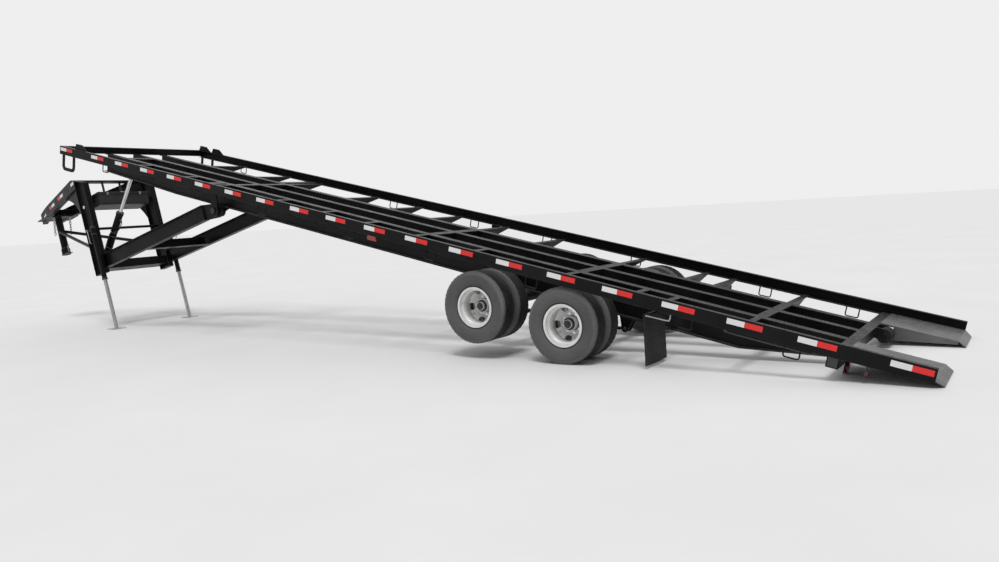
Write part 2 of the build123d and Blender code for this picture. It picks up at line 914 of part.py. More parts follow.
def rod_bracket():
    """Crossmember at the bed's front with ears for the cylinder's rod."""
    half = rod_bracket_width / 2
    inner = centre_beam_width / 2
    web = main_beam_y - main_web / 2
    beam = crossmember(rod_pin_x, inner, web, rod_bracket_width, rod_bracket_depth)
    beam = mirror(beam, about=Plane.XZ)
    top = -deck_drop - rod_bracket_depth
    ear_in = eye_width / 2 + rod_ear_gap
    for side in (-1, 1):
        near = cylinder_y + side * ear_in
        far = near + side * clevis_ear
        y = (min(near, far), max(near, far))
        beam = beam + lug((rod_pin_x, rod_pin_z), eye_radius, top, half, y, cylinder_pin_radius)
        beam = beam + block((rod_pin_x - half, rod_pin_x + half), y, (top, -deck_drop - cross_wall))
    return beam


def neck_beam():
    """Neck I-beam, closed at its upper end and joined to the hinge plate."""
    stations = [(post_rear, neck_bottom), (neck_end, neck_bottom)]
    beam = i_beam(stations, neck_top, neck_y, neck_width, neck_web, neck_flange_thickness)
    half = neck_width / 2
    wide = (neck_y - half, neck_y + half)
    cap = block((neck_end - neck_flange_thickness, neck_end), wide, (neck_bottom, neck_top))
    y = (neck_y - neck_hinge_plate / 2, neck_y + neck_hinge_plate / 2)
    root = neck_end - neck_hinge_root
    outline = [
        (root, neck_bottom + neck_flange_thickness),
        (neck_end, neck_bottom),
        (0, -neck_hinge_radius),
        (0, neck_hinge_radius),
        (neck_end, neck_top),
        (root, neck_top - neck_flange_thickness),
    ]
    plate = side_plate(outline, y) + y_rod(0, 0, y, neck_hinge_radius)
    hole = (y[0] - overrun, y[1] + overrun)
    return beam + cap + plate - y_rod(0, 0, hole, hinge_pin_radius + hinge_clearance)


def neck_post():
    """Upright I-section post at the neck's front."""
    half = neck_width / 2
    outline = [
        (post_front, post_bottom),
        (post_rear, post_bottom),
        (post_rear, post_top - post_top_fall),
        (post_front, post_top),
    ]
    post = side_plate(outline, (neck_y - half, neck_y + half))
    inset = neck_flange_thickness
    fall = inset * post_top_fall / (post_rear - post_front)
    inner = [
        (post_front + inset, post_bottom + inset),
        (post_rear - inset, post_bottom + inset),
        (post_rear - inset, post_top - post_top_fall + fall - inset),
        (post_front + inset, post_top - fall - inset),
    ]
    for side in (-1, 1):
        near = neck_y + side * neck_web / 2
        far = neck_y + side * (half + overrun)
        post = post - side_plate(inner, (min(near, far), max(near, far)))
    return post


def lower_cross_beam():
    """Box beam between the feet of the posts."""
    inside = neck_y - neck_width / 2
    half = lower_beam_half_depth
    beam = block((post_front, post_rear), (-inside, inside), (-half, half))
    wall = lower_beam_wall
    hollow = block(
        (post_front + wall, post_rear - wall),
        (-inside - overrun, inside + overrun),
        (wall - half, half - wall),
    )
    return beam - hollow


def neck_crossmember():
    """Channel between the neck beams, open rearward."""
    inside = neck_y - neck_width / 2
    half = neck_cross_width / 2
    x = (neck_cross_x - half, neck_cross_x + half)
    top = neck_bottom + neck_cross_depth
    beam = block(x, (-inside, inside), (neck_bottom, top))
    hollow = block(
        (x[0] + neck_cross_wall, x[1] + overrun),
        (-inside - overrun, inside + overrun),
        (neck_bottom + neck_cross_wall, top - neck_cross_wall),
    )
    return beam - hollow


def top_cross_beam(beams):
    """Angle across the tops of the nose beams, just in front of the posts."""
    start = post_front - slope_run
    x = (start, start + top_beam_width)
    z = (nose_top - top_beam_depth, nose_top)
    beam = block(x, (-neck_y, neck_y), z)
    hollow = block(
        (x[0] + neck_cross_wall, x[1] + overrun),
        (-neck_y - overrun, neck_y + overrun),
        (z[0] + neck_cross_wall, z[1] + overrun),
    )
    beam = beam - hollow
    for nose in beams:
        beam = beam - nose
    return beam.solids().sort_by(lambda solid: abs(solid.center().Y))[0]


def nose_plane():
    """Upright plane along the nose beam of the right side."""
    run = Vector(nose_end_x - post_front, nose_end_y - neck_y, 0)
    return Plane(origin=(post_front, neck_y, 0), x_dir=run, z_dir=run.cross(Vector(0, 0, 1)))


def nose_length():
    """Length of a nose beam in plan."""
    return math.hypot(nose_end_x - post_front, nose_end_y - neck_y)


def post_side(shape):
    """What of a shape lies in front of the posts and under their tops' slope."""
    wide = bed_length
    shape = shape - block((post_front, post_front + wide), (-wide, wide), (-wide, wide))
    step = overrun * post_top_fall / (post_rear - post_front)
    above = [
        (post_front + overrun, post_top - step),
        (post_front - slope_run - overrun, nose_top + step),
        (post_front + overrun, nose_top + step),
    ]
    return shape - side_plate(above, (-wide, wide))


def nose_beam():
    """Channel beam that leads forward and inward, then curves down."""
    length = nose_length()
    straight = length * nose_straight_share
    middle = (straight + length) / 2
    sag = nose_fall / 4
    half = nose_width / 2
    profiles = []
    for inset in (0, nose_web):
        top = nose_top - inset
        low = nose_top - nose_depth + inset
        reach = overrun + 4 * inset
        tip = length + reach - overrun
        outline = Curve() + [
            Line((-reach * 3, top), (straight, top)),
            ThreePointArc((straight, top), (middle, top - sag), (tip, top - nose_fall)),
            Line((tip, top - nose_fall), (tip, low - nose_fall)),
            ThreePointArc((tip, low - nose_fall), (middle, low - sag), (straight, low)),
            Line((straight, low), (-reach * 3, low)),
            Line((-reach * 3, low), (-reach * 3, top)),
        ]
        profiles.append(outline)
    plane = nose_plane()
    full = extrude(make_face(plane * profiles[0]), amount=half, both=True)
    pocket = make_face(plane.offset(-half - overrun) * profiles[1])
    pocket = extrude(pocket, amount=2 * half - nose_web + overrun, dir=plane.z_dir)
    return post_side(full - pocket)


def nose_gusset():
    """Curved plate from the post up to the underside of the nose beam."""
    low = nose_top - nose_depth
    bow = (gusset_reach * gusset_bow_share, low - (low - gusset_low_z) * gusset_bow_share)
    outline = Curve() + [
        Line((-overrun, gusset_low_z), (-overrun, low)),
        Line((-overrun, low), (gusset_reach, low)),
        ThreePointArc((gusset_reach, low), bow, (0, gusset_low_z)),
        Line((0, gusset_low_z), (-overrun, gusset_low_z)),
    ]
    half = gusset_thickness / 2
    return post_side(extrude(make_face(nose_plane() * outline), amount=half, both=True))


def coupler():
    """Coupler tube with the ball socket in its foot."""
    x = coupler_x
    tube = rod((x, 0, coupler_bottom), (x, 0, coupler_top), coupler_radius)
    foot = rod((x, 0, coupler_bottom), (x, 0, coupler_bottom + coupler_foot), coupler_foot_radius)
    socket = rod(
        (x, 0, coupler_bottom - overrun),
        (x, 0, coupler_bottom + ball_socket_depth),
        ball_radius,
    )
    return tube + foot - socket


def coupler_plates(beams):
    """Two plates that hold the coupler tube between the nose beams."""
    half = coupler_plate_length / 2
    tube = rod((coupler_x, 0, 0), (coupler_x, 0, coupler_top), coupler_radius)
    plates = []
    for top in (coupler_plate_top, coupler_plate_low):
        y = (-neck_y / 2, neck_y / 2)
        plate = block((coupler_x - half, coupler_x + half), y, (top - coupler_plate, top)) - tube
        for beam in beams:
            plate = plate - beam
        solids = plate.solids().sort_by(lambda solid: abs(solid.center().Y))
        plates.append(solids[0])
    return plates


def coupler_brace():
    """Round brace from the coupler down to the post."""
    start = (coupler_x, brace_coupler_y, brace_coupler_z)
    run = Vector(post_front - coupler_x, brace_post_y - brace_coupler_y, brace_post_z - brace_coupler_z)
    stretch = 1 + brace_radius / run.length
    end = Vector(*start) + run * stretch
    bar = post_side(rod(start, (end.X, end.Y, end.Z), brace_radius))
    tube = rod((coupler_x, 0, 0), (coupler_x, 0, coupler_top), coupler_radius)
    cut = bar - tube
    return cut.solids().sort_by(Axis.X)[-1]


def chain_link(turn, drop):
    """One oval link, turned a quarter from its neighbours."""
    width = chain_inner_width + 2 * chain_bar_radius
    straight = chain_pitch + 2 * chain_bar_radius - width
    half = width / 2
    path = Curve() + [
        Line((-straight / 2, half), (straight / 2, half)),
        ThreePointArc((straight / 2, half), (straight / 2 + half, 0), (straight / 2, -half)),
        Line((straight / 2, -half), (-straight / 2, -half)),
        ThreePointArc((-straight / 2, -half), (-straight / 2 - half, 0), (-straight / 2, half)),
    ]
    section = Plane(origin=(-straight / 2, half, 0), z_dir=(1, 0, 0)) * Circle(chain_bar_radius)
    link = sweep(section, path=path.wires()[0])
    return Pos(0, 0, -drop) * Rot(0, 90, 0) * Rot(turn, 0, 0) * link


def safety_chain():
    """Chain that hangs from the lower coupler plate."""
    level = Rot(0, fold_angle - tilt_angle, 0)
    step = chain_pitch - seat_gap
    place = Pos(chain_x, chain_y, chain_top_z) * level
    links = []
    for index in range(chain_links):
        drop = chain_pitch / 2 + 2 * chain_bar_radius + seat_gap + index * step
        links.append(place * chain_link(90 * (index % 2), drop))
    return links


def pump_box():
    """Open-topped box for pump and battery with rounded lower edges."""
    y = (-box_half_width, box_half_width)
    box = block((box_front, box_rear), y, (box_bottom, box_top))
    box = fillet(box.edges().filter_by(Axis.Y).group_by(Axis.Z)[0], box_round)
    wall = box_wall
    room = block(
        (box_front + wall, box_rear - wall),
        (y[0] + wall, y[1] - wall),
        (box_bottom + wall, box_top + overrun),
    )
    room = fillet(room.edges().filter_by(Axis.Y).group_by(Axis.Z)[0], box_round - wall)
    return box - room


def pump_box_lid():
    """Lid with a lip all round, which rests on the box's walls."""
    reach = box_lid_reach
    half = box_half_width + reach
    low = box_top - box_lid_lip
    cap = block((box_front - reach, box_rear + reach), (-half, half), (low, box_top + box_lid))
    inner = half - box_lid
    hollow = block(
        (box_front - reach + box_lid, box_rear + reach - box_lid),
        (-inner, inner),
        (low - overrun, box_top),
    )
    return cap - hollow


def box_hanger():
    """Plate that carries one side of the box from the post's web."""
    top = box_top - box_lid_lip - box_lid_reach
    x = (box_hanger_x, box_hanger_x + box_hanger_thickness)
    return block(x, (box_half_width, neck_y - neck_web / 2), (top - box_hanger_height, top))


def jack_body():
    """Outer tube of a jack with the bracket that holds it."""
    tube = rod((jack_x, jack_y, jack_bottom), (jack_x, jack_y, jack_top), jack_radius)
    beam_face = neck_y + neck_width / 2
    bracket = block(
        (post_rear, jack_x + jack_radius),
        (beam_face, jack_y),
        (jack_bracket_low, jack_bracket_top),
    )
    side = (jack_x, jack_y + jack_radius + crank_length / 2, jack_top - crank_drop)
    shaft = rod((jack_x, jack_y, jack_top - crank_drop), side, crank_radius)
    return tube + bracket + shaft


def jack_leg_solids():
    """Inner leg of a jack down to its level foot, in the row frame."""
    foot_top = jack_foot_thickness
    leg = neck_place * rod(
        (jack_x, jack_y, jack_bottom - bed_half_width * 2),
        (jack_x, jack_y, jack_bottom),
        jack_leg_radius,
    )
    wide = bed_length
    leg = leg - block((-wide, wide), (-wide, wide), (-wide, foot_top))
    foot_face = leg.faces().sort_by(Axis.Z)[0]
    centre = foot_face.center()
    half = jack_foot / 2
    foot = block(
        (centre.X - half, centre.X + half),
        (centre.Y - half, centre.Y + half),
        (0, foot_top),
    )
    return [leg, foot]


def cylinder_base():
    """Ears and pin that carry the cylinder's lower eye."""
    ear_in = base_eye_width / 2 + clevis_gap
    base = None
    for side in (-1, 1):
        near = cylinder_y + side * ear_in
        far = near + side * clevis_ear
        y = (min(near, far), max(near, far))
        outline = [
            (post_front, lower_beam_half_depth),
            (post_front, -lower_beam_half_depth),
            (base_pin_x - eye_radius, base_pin_z - eye_radius / 2),
            (base_pin_x, base_pin_z + eye_radius),
        ]
        ear = side_plate(outline, y) + y_rod(base_pin_x, base_pin_z, y, eye_radius)
        base = ear if base is None else base + ear
    reach = ear_in + clevis_ear
    pin = y_rod(base_pin_x, base_pin_z, (cylinder_y - reach, cylinder_y + reach), cylinder_pin_radius)
    return base + pin


def rod_pin_in_neck():
    """The rod's pin in the neck frame, with the bed tilted."""
    fold = math.radians(fold_angle)
    dx = rod_pin_x - hinge_x
    dz = rod_pin_z - hinge_z
    return (dx * math.cos(fold) + dz * math.sin(fold), dz * math.cos(fold) - dx * math.sin(fold))


def cylinder_place():
    """Neck-frame place with x along the cylinder from its lower pin."""
    pin_x, pin_z = rod_pin_in_neck()
    rise = math.degrees(math.atan2(pin_z - base_pin_z, pin_x - base_pin_x))
    return Location((base_pin_x, cylinder_y, base_pin_z), (0, -rise, 0))


def open_length():
    """Distance between the cylinder's pins with the bed tilted."""
    pin_x, pin_z = rod_pin_in_neck()
    return math.hypot(pin_x - base_pin_x, pin_z - base_pin_z)


def cylinder_barrel():
    """Barrel with its eye, base and gland."""
    half = base_eye_width / 2
    neck_half = eye_width / 2
    eye = y_rod(0, 0, (-half, half), eye_radius)
    tube = rod((barrel_base, 0, 0), (barrel_length, 0, 0), barrel_radius)
    neck = block((0, barrel_base), (-neck_half, neck_half), (-eye_radius, eye_radius))
    gland = rod((barrel_length - gland_length, 0, 0), (barrel_length, 0, 0), gland_radius)
    bore = rod((barrel_base + barrel_wall, 0, 0), (barrel_length + overrun, 0, 0), rod_radius + rod_clearance)
    pin_hole = y_rod(0, 0, (-half - overrun, half + overrun), cylinder_pin_radius + rod_clearance)
    return eye + neck + tube + gland - bore - pin_hole


def cylinder_rod():
    """Chromed rod with its eye and the pin that rides in it."""
    length = open_length()
    half = eye_width / 2
    bar = rod((length - rod_length, 0, 0), (length - eye_radius / 2, 0, 0), rod_radius)
    eye = y_rod(length, 0, (-half, half), eye_radius)
    reach = half + rod_ear_gap - clevis_gap
    pin = y_rod(length, 0, (-reach, reach), cylinder_pin_radius)
    return bar + eye + pin


spring_arc_radius = (spring_half_span**2 + spring_sag**2) / (2 * spring_sag)
spring_eye_z = -axle_radius - spring_seat + spring_sag - leaf_thickness / 2
equalizer_pivot = (
    (front_axle_x + rear_axle_x) / 2,
    (front_axle_z + rear_axle_z) / 2 + spring_eye_z,
)
roller_pin_x = bed_length - fork_length + crossbar_width / 2 + roller_gap + roller_radius
roller_pin_z = -deck_drop - roller_drop
chain_top_z = coupler_plate_low - coupler_plate
slope_run = (nose_top - post_top) * (post_rear - post_front) / post_top_fall

rail = outer_rail()
rails = both_sides(rail)
axle_places = {
    "front": Pos(front_axle_x, 0, front_axle_z),
    "rear": Pos(rear_axle_x, 0, rear_axle_z),
}

outriggers = []
for share, deep in outrigger_shares:
    depth = outrigger_root_depth if deep else outrigger_low_depth
    outriggers += both_sides(outrigger(share * bed_length, depth, outrigger_width, outrigger_web))
outriggers += both_sides(hinge_outrigger())

crossmembers = []
for share in crossmember_shares:
    span = (centre_beam_width / 2, main_beam_y - main_web / 2)
    crossmembers += both_sides(crossmember(share * bed_length, *span, cross_width, cross_depth))

hangers = []
for x, z in (
    (front_axle_x - spring_half_span, front_axle_z + spring_eye_z),
    equalizer_pivot,
    (rear_axle_x + spring_half_span, rear_axle_z + spring_eye_z),
):
    hangers += both_sides(spring_hanger(x, z))

springs = []
seats = []
for place in axle_places.values():
    springs += [place * piece for piece in both_sides(leaf_spring())]
    seats += [place * piece for piece in both_sides(spring_seat_block())]

front_eye = (front_axle_x + spring_half_span, front_axle_z + spring_eye_z)
rear_eye = (rear_axle_x - spring_half_span, rear_axle_z + spring_eye_z)
shackles = both_sides(spring_shackle(*front_eye, 1)) + both_sides(spring_shackle(*rear_eye, -1))

noses = both_sides(nose_beam())
flaps = both_sides(mud_flap())
lamps = both_sides(side_marker_lens()) + both_sides(tail_lamp())
plates = both_sides(side_marker()) + both_sides(tail_lamp_bracket())
stops = both_sides(rail_stop(stop_start)) + [rail_stop(0)]
loops = []
for share in stake_loop_shares:
    loops += both_sides(stake_loop(share * bed_length))
lugs = []
for piece in hinge_lugs():
    lugs += both_sides(piece)

bed_nodes = {
    "outer_rails": rails,
    "main_beams": both_sides(main_beam()),
    "centre_beam": [centre_beam()],
    "front_header": [front_header(rails)],
    "crossmembers": crossmembers,
    "outriggers": outriggers,
    "rear_crossbar": [rear_crossbar(rails)],
    "rear_roller": [rear_roller()],
    "forks": both_sides(fork()),
    "stake_loops": loops,
    "front_loops": both_sides(front_loop()),
    "rail_stops": stops,
    "hinge_lugs": lugs,
    "hinge_pins": both_sides(hinge_pin()),
    "spring_hangers": hangers,
    "leaf_springs": springs,
    "spring_seats": seats,
    "equalizers": both_sides(equalizer()),
    "spring_shackles": shackles,
    "axle_front": [axle_places["front"] * axle()],
    "axle_rear": [axle_places["rear"] * axle()],
    "mud_flaps": flaps,
    "flap_hangers": both_sides(flap_hanger()),
    "lamps": lamps,
    "lamp_brackets": plates,
    "rod_bracket": [rod_bracket()],
}
for end, place in axle_places.items():
    pair = [tyre(outer_tyre_y), tyre(outer_tyre_y - dual_spacing)]
    rims = wheel_rims()
    bed_nodes[f"tyres_{end}_right"] = [place * piece for piece in pair]
    bed_nodes[f"rims_{end}_right"] = [place * rims]
    bed_nodes[f"tyres_{end}_left"] = [place * mirror(piece, about=Plane.XZ) for piece in pair]
    bed_nodes[f"rims_{end}_left"] = [place * mirror(rims, about=Plane.XZ)]

neck_nodes = {
    "neck_beams": both_sides(neck_beam()),
    "neck_posts": both_sides(neck_post()),
    "lower_cross_beam": [lower_cross_beam()],
    "neck_crossmember": [neck_crossmember()],
    "top_cross_beam": [top_cross_beam(noses)],
    "cross_tube": [
        y_rod(cross_tube_x, cross_tube_z, (neck_web / 2 - neck_y, neck_y - neck_web / 2), cross_tube_radius)
    ],
    "nose_beams": noses,
    "nose_gussets": both_sides(nose_gusset()),
    "coupler": [coupler()],
    "coupler_plates": coupler_plates(noses),
    "coupler_braces": both_sides(coupler_brace()),
    "safety_chains": [link for chain in map(both_sides, safety_chain()) for link in chain],
    "pump_box": [pump_box()],
    "pump_box_cover": [pump_box_lid()],
    "box_hangers": both_sides(box_hanger()),
    "cylinder_base": [cylinder_base()],
    "cylinder_barrel": [cylinder_place() * cylinder_barrel()],
    "cylinder_rod": [cylinder_place() * cylinder_rod()],
}

nodes = {name: [bed_place * piece for piece in pieces] for name, pieces in bed_nodes.items()}
for name, pieces in neck_nodes.items():
    nodes[name] = [neck_place * piece for piece in pieces]
nodes["jacks"] = [neck_place * piece for piece in both_sides(jack_body())]
nodes["jack_legs"] = [piece for solid in jack_leg_solids() for piece in both_sides(solid)]

boxes = [piece.bounding_box() for pieces in nodes.values() for piece in pieces]
low_x = min(box.min.X for box in boxes)
high_x = max(box.max.X for box in boxes)
centring = Pos(-(low_x + high_x) / 2, 0, 0)

os.makedirs("parts", exist_ok=True)
for name, pieces in nodes.items():
    solids = [solid for piece in pieces for solid in piece.solids()]
    export_step(centring * Compound(solids), f"parts/{name}.step")
    print(name, len(solids))
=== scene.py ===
import json
import math

import bmesh
import bpy
from mathutils import Matrix, Vector


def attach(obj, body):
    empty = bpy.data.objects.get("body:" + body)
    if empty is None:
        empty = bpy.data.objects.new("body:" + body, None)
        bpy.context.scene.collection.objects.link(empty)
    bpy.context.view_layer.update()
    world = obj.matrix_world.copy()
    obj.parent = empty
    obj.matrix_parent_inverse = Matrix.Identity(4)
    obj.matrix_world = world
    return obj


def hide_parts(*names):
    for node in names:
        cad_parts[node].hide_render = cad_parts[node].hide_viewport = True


# Looks of the gooseneck tilt bed trailer, in metres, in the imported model's frame.
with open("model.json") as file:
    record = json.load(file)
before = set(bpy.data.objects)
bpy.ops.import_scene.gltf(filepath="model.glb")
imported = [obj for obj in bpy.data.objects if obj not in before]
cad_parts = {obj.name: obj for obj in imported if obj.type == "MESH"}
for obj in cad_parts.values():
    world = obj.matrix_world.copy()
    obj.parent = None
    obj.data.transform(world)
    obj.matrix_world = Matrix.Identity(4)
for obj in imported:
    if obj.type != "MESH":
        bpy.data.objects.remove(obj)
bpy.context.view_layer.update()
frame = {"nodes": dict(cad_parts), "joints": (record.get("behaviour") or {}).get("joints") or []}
NODES = frame["nodes"]
JOINTS = {joint["name"]: joint for joint in frame["joints"]}
UP = Vector((0, 0, 1))

# Bed frame: x from the bed's front end, z from the rails' top. Neck frame: from the hinge pin.
HINGE_BED = Vector((2.960, 0, -0.507))
FRONT_AXLE_BED = Vector((8.063, 0, -0.605))
REAR_AXLE_BED = Vector((9.138, 0, -0.526))
BED_LENGTH = 12.510
HALF_WIDTH = 1.295
RAIL_HEIGHT = 0.127
FOLD = math.radians(JOINTS["bed_tilt"]["range_deg"][1])
HINGE = Vector(JOINTS["bed_tilt"]["pos_m"])
# Wheels by name: the way outward in y, and the twin wheel's middle
WHEELS = {
    f"{end}_{side}": (out, Vector(JOINTS[f"wheel_{end}_{side}_spin"]["pos_m"]))
    for end in ("front", "rear")
    for side, out in (("left", -1), ("right", 1))
}


def slope(vector):
    """Angle of a vector above the x axis, in the upright plane."""
    return math.atan2(vector.z, vector.x)


axle_step = WHEELS["rear_left"][1] - WHEELS["front_left"][1]
TILT = slope(REAR_AXLE_BED - FRONT_AXLE_BED) - slope(axle_step)
TURN = Matrix.Rotation(TILT, 4, "Y")
BED = Matrix.Translation(HINGE - TURN @ HINGE_BED) @ TURN
NECK = BED @ Matrix.Translation(HINGE_BED) @ Matrix.Rotation(-FOLD, 4, "Y")

# Camera, solved from the photograph, in the bed frame
IMAGE_WIDTH = 999
CAMERA_PLACE = Vector((12.848, -8.392, 1.553))
CAMERA_YAW = math.radians(-32.33)
CAMERA_PITCH = math.radians(-12.06)
CAMERA_ROLL = math.radians(7.72)
CAMERA_REACH = 400.0
FOCAL_PIXELS = 829.4
SENSOR_WIDTH = 36.0

# Stage: floor, world light as lit and as seen, and suns as (name, direction, strength, spread)
FLOOR_RADIUS = 190.0
FLOOR_STEPS = 256
WORLD_LIGHT = 0.5
WORLD_SEEN = 0.86
SUNS = (
    ("key", (0.22, -0.34, 0.91), 1.45, 20.0),
    ("fill", (-0.5, 0.45, 0.75), 0.5, 60.0),
)

# Materials. A noise is (waves per metre or share of a scale, detail, roughness); a pattern adds
# its ramp's stops, a gloss the two places of its ramp, a relief its strength and depth.
EDGE_RADIUS = 0.0045
EDGE_SAMPLES = 4
EDGE_BEND = (0.86, 0.985)
DUST_FACING = (0.35, 0.95)
PAINT_BLOTCH = ((1.7, 6.0, 0.55), (0.35, 0.0), (0.7, 1.0))
PAINT_SPECK = ((46.0, 8.0, 0.7), (0.42, 0.0), (0.78, 1.0))
PAINT_PATCH = ((1.3, 5.0, 0.6), (0.34, 0.35), (0.66, 1.0))
# Edge pattern: paint worn thin at the edges, and a painted highlight where edges catch light
PAINT_RUB_AND_HIGHLIGHT = ((9.0, 6.0, 0.55), (0.3, 0.2), (0.7, 1.0))
PAINT_GLOSS = ((6.0, 5.0, 0.55), (0.3, 0.75))
PAINT_RELIEF = ((190.0, 3.0, 0.55), 0.10, 0.0010)
METAL_TONE = ((1.0, 6.0, 0.6), (0.35, 0.0), (0.72, 1.0))
METAL_GLOSS = ((1.7, 4.0, 0.5), (0.3, 0.7))
METAL_RELIEF = ((6.0, 3.0, 0.5), 0.08, 0.0006)
RUBBER_BROAD = ((0.4, 3.0, 0.5), (0.35, 0.0), (0.7, 1.0))
RUBBER_FINE = ((6.0, 7.0, 0.65), (0.45, 0.0), (0.75, 1.0))
RUBBER_BROAD_SHARE = 0.6
RUBBER_FINE_SHARE = 0.22
RUBBER_GLOSS = ((4.0, 4.0, 0.55), (0.3, 0.75))
RUBBER_ROUGH = (0.62, 0.86)
RUBBER_PORES = (260.0, 4.0, 0.6)
RUBBER_DEPTH = 0.0012
WHEEL_TONE = ((5.0, 5.0, 0.55), (0.35, 0.0), (0.75, 1.0))
WHEEL_GRIME = ((22.0, 9.0, 0.72), (0.52, 0.0), (0.74, 1.0))
WHEEL_GRIME_SHARE = 0.45
WHEEL_GLOSS = ((14.0, 4.0, 0.55), (0.3, 0.7))
WHEEL_ROUGH = (0.36, 0.52)
WHEEL_RELIEF = ((240.0, 3.0, 0.55), 0.1, 0.0008)
CELL_SCALE = 230.0
CELL_STOPS = ((0.25, 0.0), (0.8, 1.0))
CELL_SHARE = 0.35
CELL_RELIEF = (0.15, 0.0006)
STRIP_DIRT = ((16.0, 8.0, 0.7), (0.55, 0.0), (0.85, 1.0))
STRIP_DIRT_SHARE = 0.16
STRIP_DIRT_COLOUR = (0.30, 0.28, 0.26)
STRIP_GLOSS = ((9.0, 4.0, 0.55), (0.3, 0.7))
STRIP_ROUGH = (0.2, 0.36)
LENS_WAVES = 60.0
LENS_BEND = 0.2
LENS_RELIEF = (0.3, 0.0015)
LENS_GLOSS = ((20.0, 4.0, 0.55), (0.3, 0.7))
LENS_ROUGH = (0.08, 0.2)
FLOOR_TONE = ((0.6, 4.0, 0.55), (0.3, 0.76), (0.7, 0.79))

# Tyres: (distance outward from the tyre's middle, radius, kind) from the bead to the tread
TWIN_HALF_SPACING = 0.145
TYRE_STEPS = 132
TREAD_HALF = 0.097
TYRE_SIDE = (
    (0.0790, 0.2035, "bead"),
    (0.0795, 0.2210, "bead"),
    (0.0880, 0.2330, "wall"),
    (0.0985, 0.2480, "wall"),
    (0.1010, 0.2490, "wall"),
    (0.1040, 0.2560, "wall"),
    (0.1115, 0.2740, "wall"),
    (0.1160, 0.2960, "wall"),
    (0.1172, 0.3120, "wall"),
    (0.1158, 0.3300, "wall"),
    (0.1170, 0.3320, "wall"),
    (0.1150, 0.3400, "wall"),
    (0.1118, 0.3560, "notch"),
    (0.1070, 0.3710, "notch"),
    (0.1020, 0.3820, "notch"),
    (TREAD_HALF, 0.3880, "notch"),
)
# Material slot of each kind: the beads take the dark tread rubber, a darker ring by the rim, and
# the notched shoulders a lighter rubber, a painted highlight where the shoulder catches light
TYRE_SLOTS = {"wall": 0, "bead": 1, "rib": 1, "floor": 1, "notch": 2}
TREAD_CROWN = 0.3906
TREAD_FALL = 0.0025
GROOVE_PLACES = (-0.064, -0.022, 0.022, 0.064)
GROOVE_HALF = 0.0045
GROOVE_DEPTH = 0.009
# (share of the half width, depth, kind) across one groove
GROOVE_SHAPE = (
    (-1.0, 0.0, "rib"),
    (-0.6, GROOVE_DEPTH, "floor"),
    (0.6, GROOVE_DEPTH, "floor"),
    (1.0, 0.0, "rib"),
)
WAVE = 0.0022
WAVE_STEPS = 4
NOTCH_DEPTH = 0.003
NOTCH_STEPS = 3
NOTCH_START = 0.345
NOTCH_RUN = 0.03

# Wheels. A stack is a table of round parts: (distance, radius, length, sides, bevel, top radius)
DISC_FACE = 0.009
NUT_COUNT = 8
NUT_CIRCLE = 0.098
NUT_START = 0.2
NUT_TWIST = 0.7
NUT_STACK = (
    (0, 0.019375, 0.004, 20),
    (0, 0.0155, 0.022, 6, 0.0012),
    (0, 0.00775, 0.036, 12),
)
HUB_STACK = (
    (0, 0.0775, 0.012, 48, 0.002),
    (0, 0.0735, 0.080, 48, 0.004, 0.0675),
    (0.080, 0.0465, 0.0385, 40, 0.006, 0.0425),
    (0.1185, 0.019, 0.010, 6, 0.001),
)
HUB_BOLT_PLACE = (0.060, 0, 0.080)
HUB_BOLT = (0.0075, 0.008, 6, 0.0008)
STEM_CIRCLE = 0.162
STEM_TURNS = (0.6, math.pi + 0.6)
STEM_PLACES = (-0.010, 0.020, 0.0523, 0.0643)
STEM_LEAN = 0.97
STEM_RADIUS = 0.0042
STEM_CAP_RADIUS = 0.0056
WELL_STEPS = 96
# (distance outward from the wheel's middle, radius)
WELL_PROFILE = (
    (0.206, 0.1945),
    (0.203, 0.1915),
    (0.192, 0.1895),
    (0.186, 0.1850),
    (0.182, 0.1790),
    (0.176, 0.1765),
    (0.062, 0.1755),
    (0.062, 0.1785),
    (0.174, 0.1795),
    (0.196, 0.1948),
)

# Reflective strips along the rails; a red one follows each white one by a share of the pitch
STRIP_PITCH = 0.6184
STRIP_START = 0.940
STRIP_DROP = 0.045
STRIP_RED_SHARE = 0.2576
STRIP_PLACES = (-1.36, *range(18), 18.18)
STRIP_PROUD = 0.0004
STRIP_SIZE = (0.160, STRIP_PROUD, 0.050)

# Strips on the nose beams in the neck frame: colour, run from the post, height, slope
NOSE_ROOT = Vector((-3.370, 0.605, 0))
NOSE_TIP = Vector((-5.480, 0.135, 0))
NOSE_HALF = 0.042
NOSE_STRIPS = (
    ("white", 0.100, 1.510, 0.0),
    ("white", 0.770, 1.505, 0.0),
    ("red", 0.930, 1.505, 0.0),
    ("white", 1.330, 1.500, 0.0),
    ("red", 1.490, 1.500, 0.0),
    ("white", 1.930, 1.455, -12.0),
)

# Suspension and hinges in the bed frame. A bolt is (size, length).
SPRING_Y = 0.500
U_BOLT_Y = 0.047
U_BOLT_X = 0.073
U_BOLT_LEG = 0.165
U_BOLT_RADIUS = 0.008
U_BOLT_NUT = (0.013, 0.012)
TIE_PLATE_DROP = 0.139
TIE_PLATE = (0.19, 0.125, 0.010)
SPRING_CLIP_X = 0.205
SPRING_CLIP_DROP = 0.094
SPRING_CLIP = (0.028, 0.088, 0.040)
SPRING_EYE = Vector((0.363, 0, -0.0455))
SHACKLE = 0.047
HANGER_REACH = 0.051
SPRING_NUT = (0.015, 0.011)
HINGE_PIN_Y = (0.521, 0.690)
KEEPER_STACK = ((0, 0.041, 0.008, 32, 0.002), (0, 0.007, 0.022, 10, 0.001, 0.004))
KEEPER_THICKNESS = 0.008
KEEPER_CIRCLE = 0.029
KEEPER_TURNS = (45, 135, 225, 315)
KEEPER_SCREW = (0.006, 0.004)

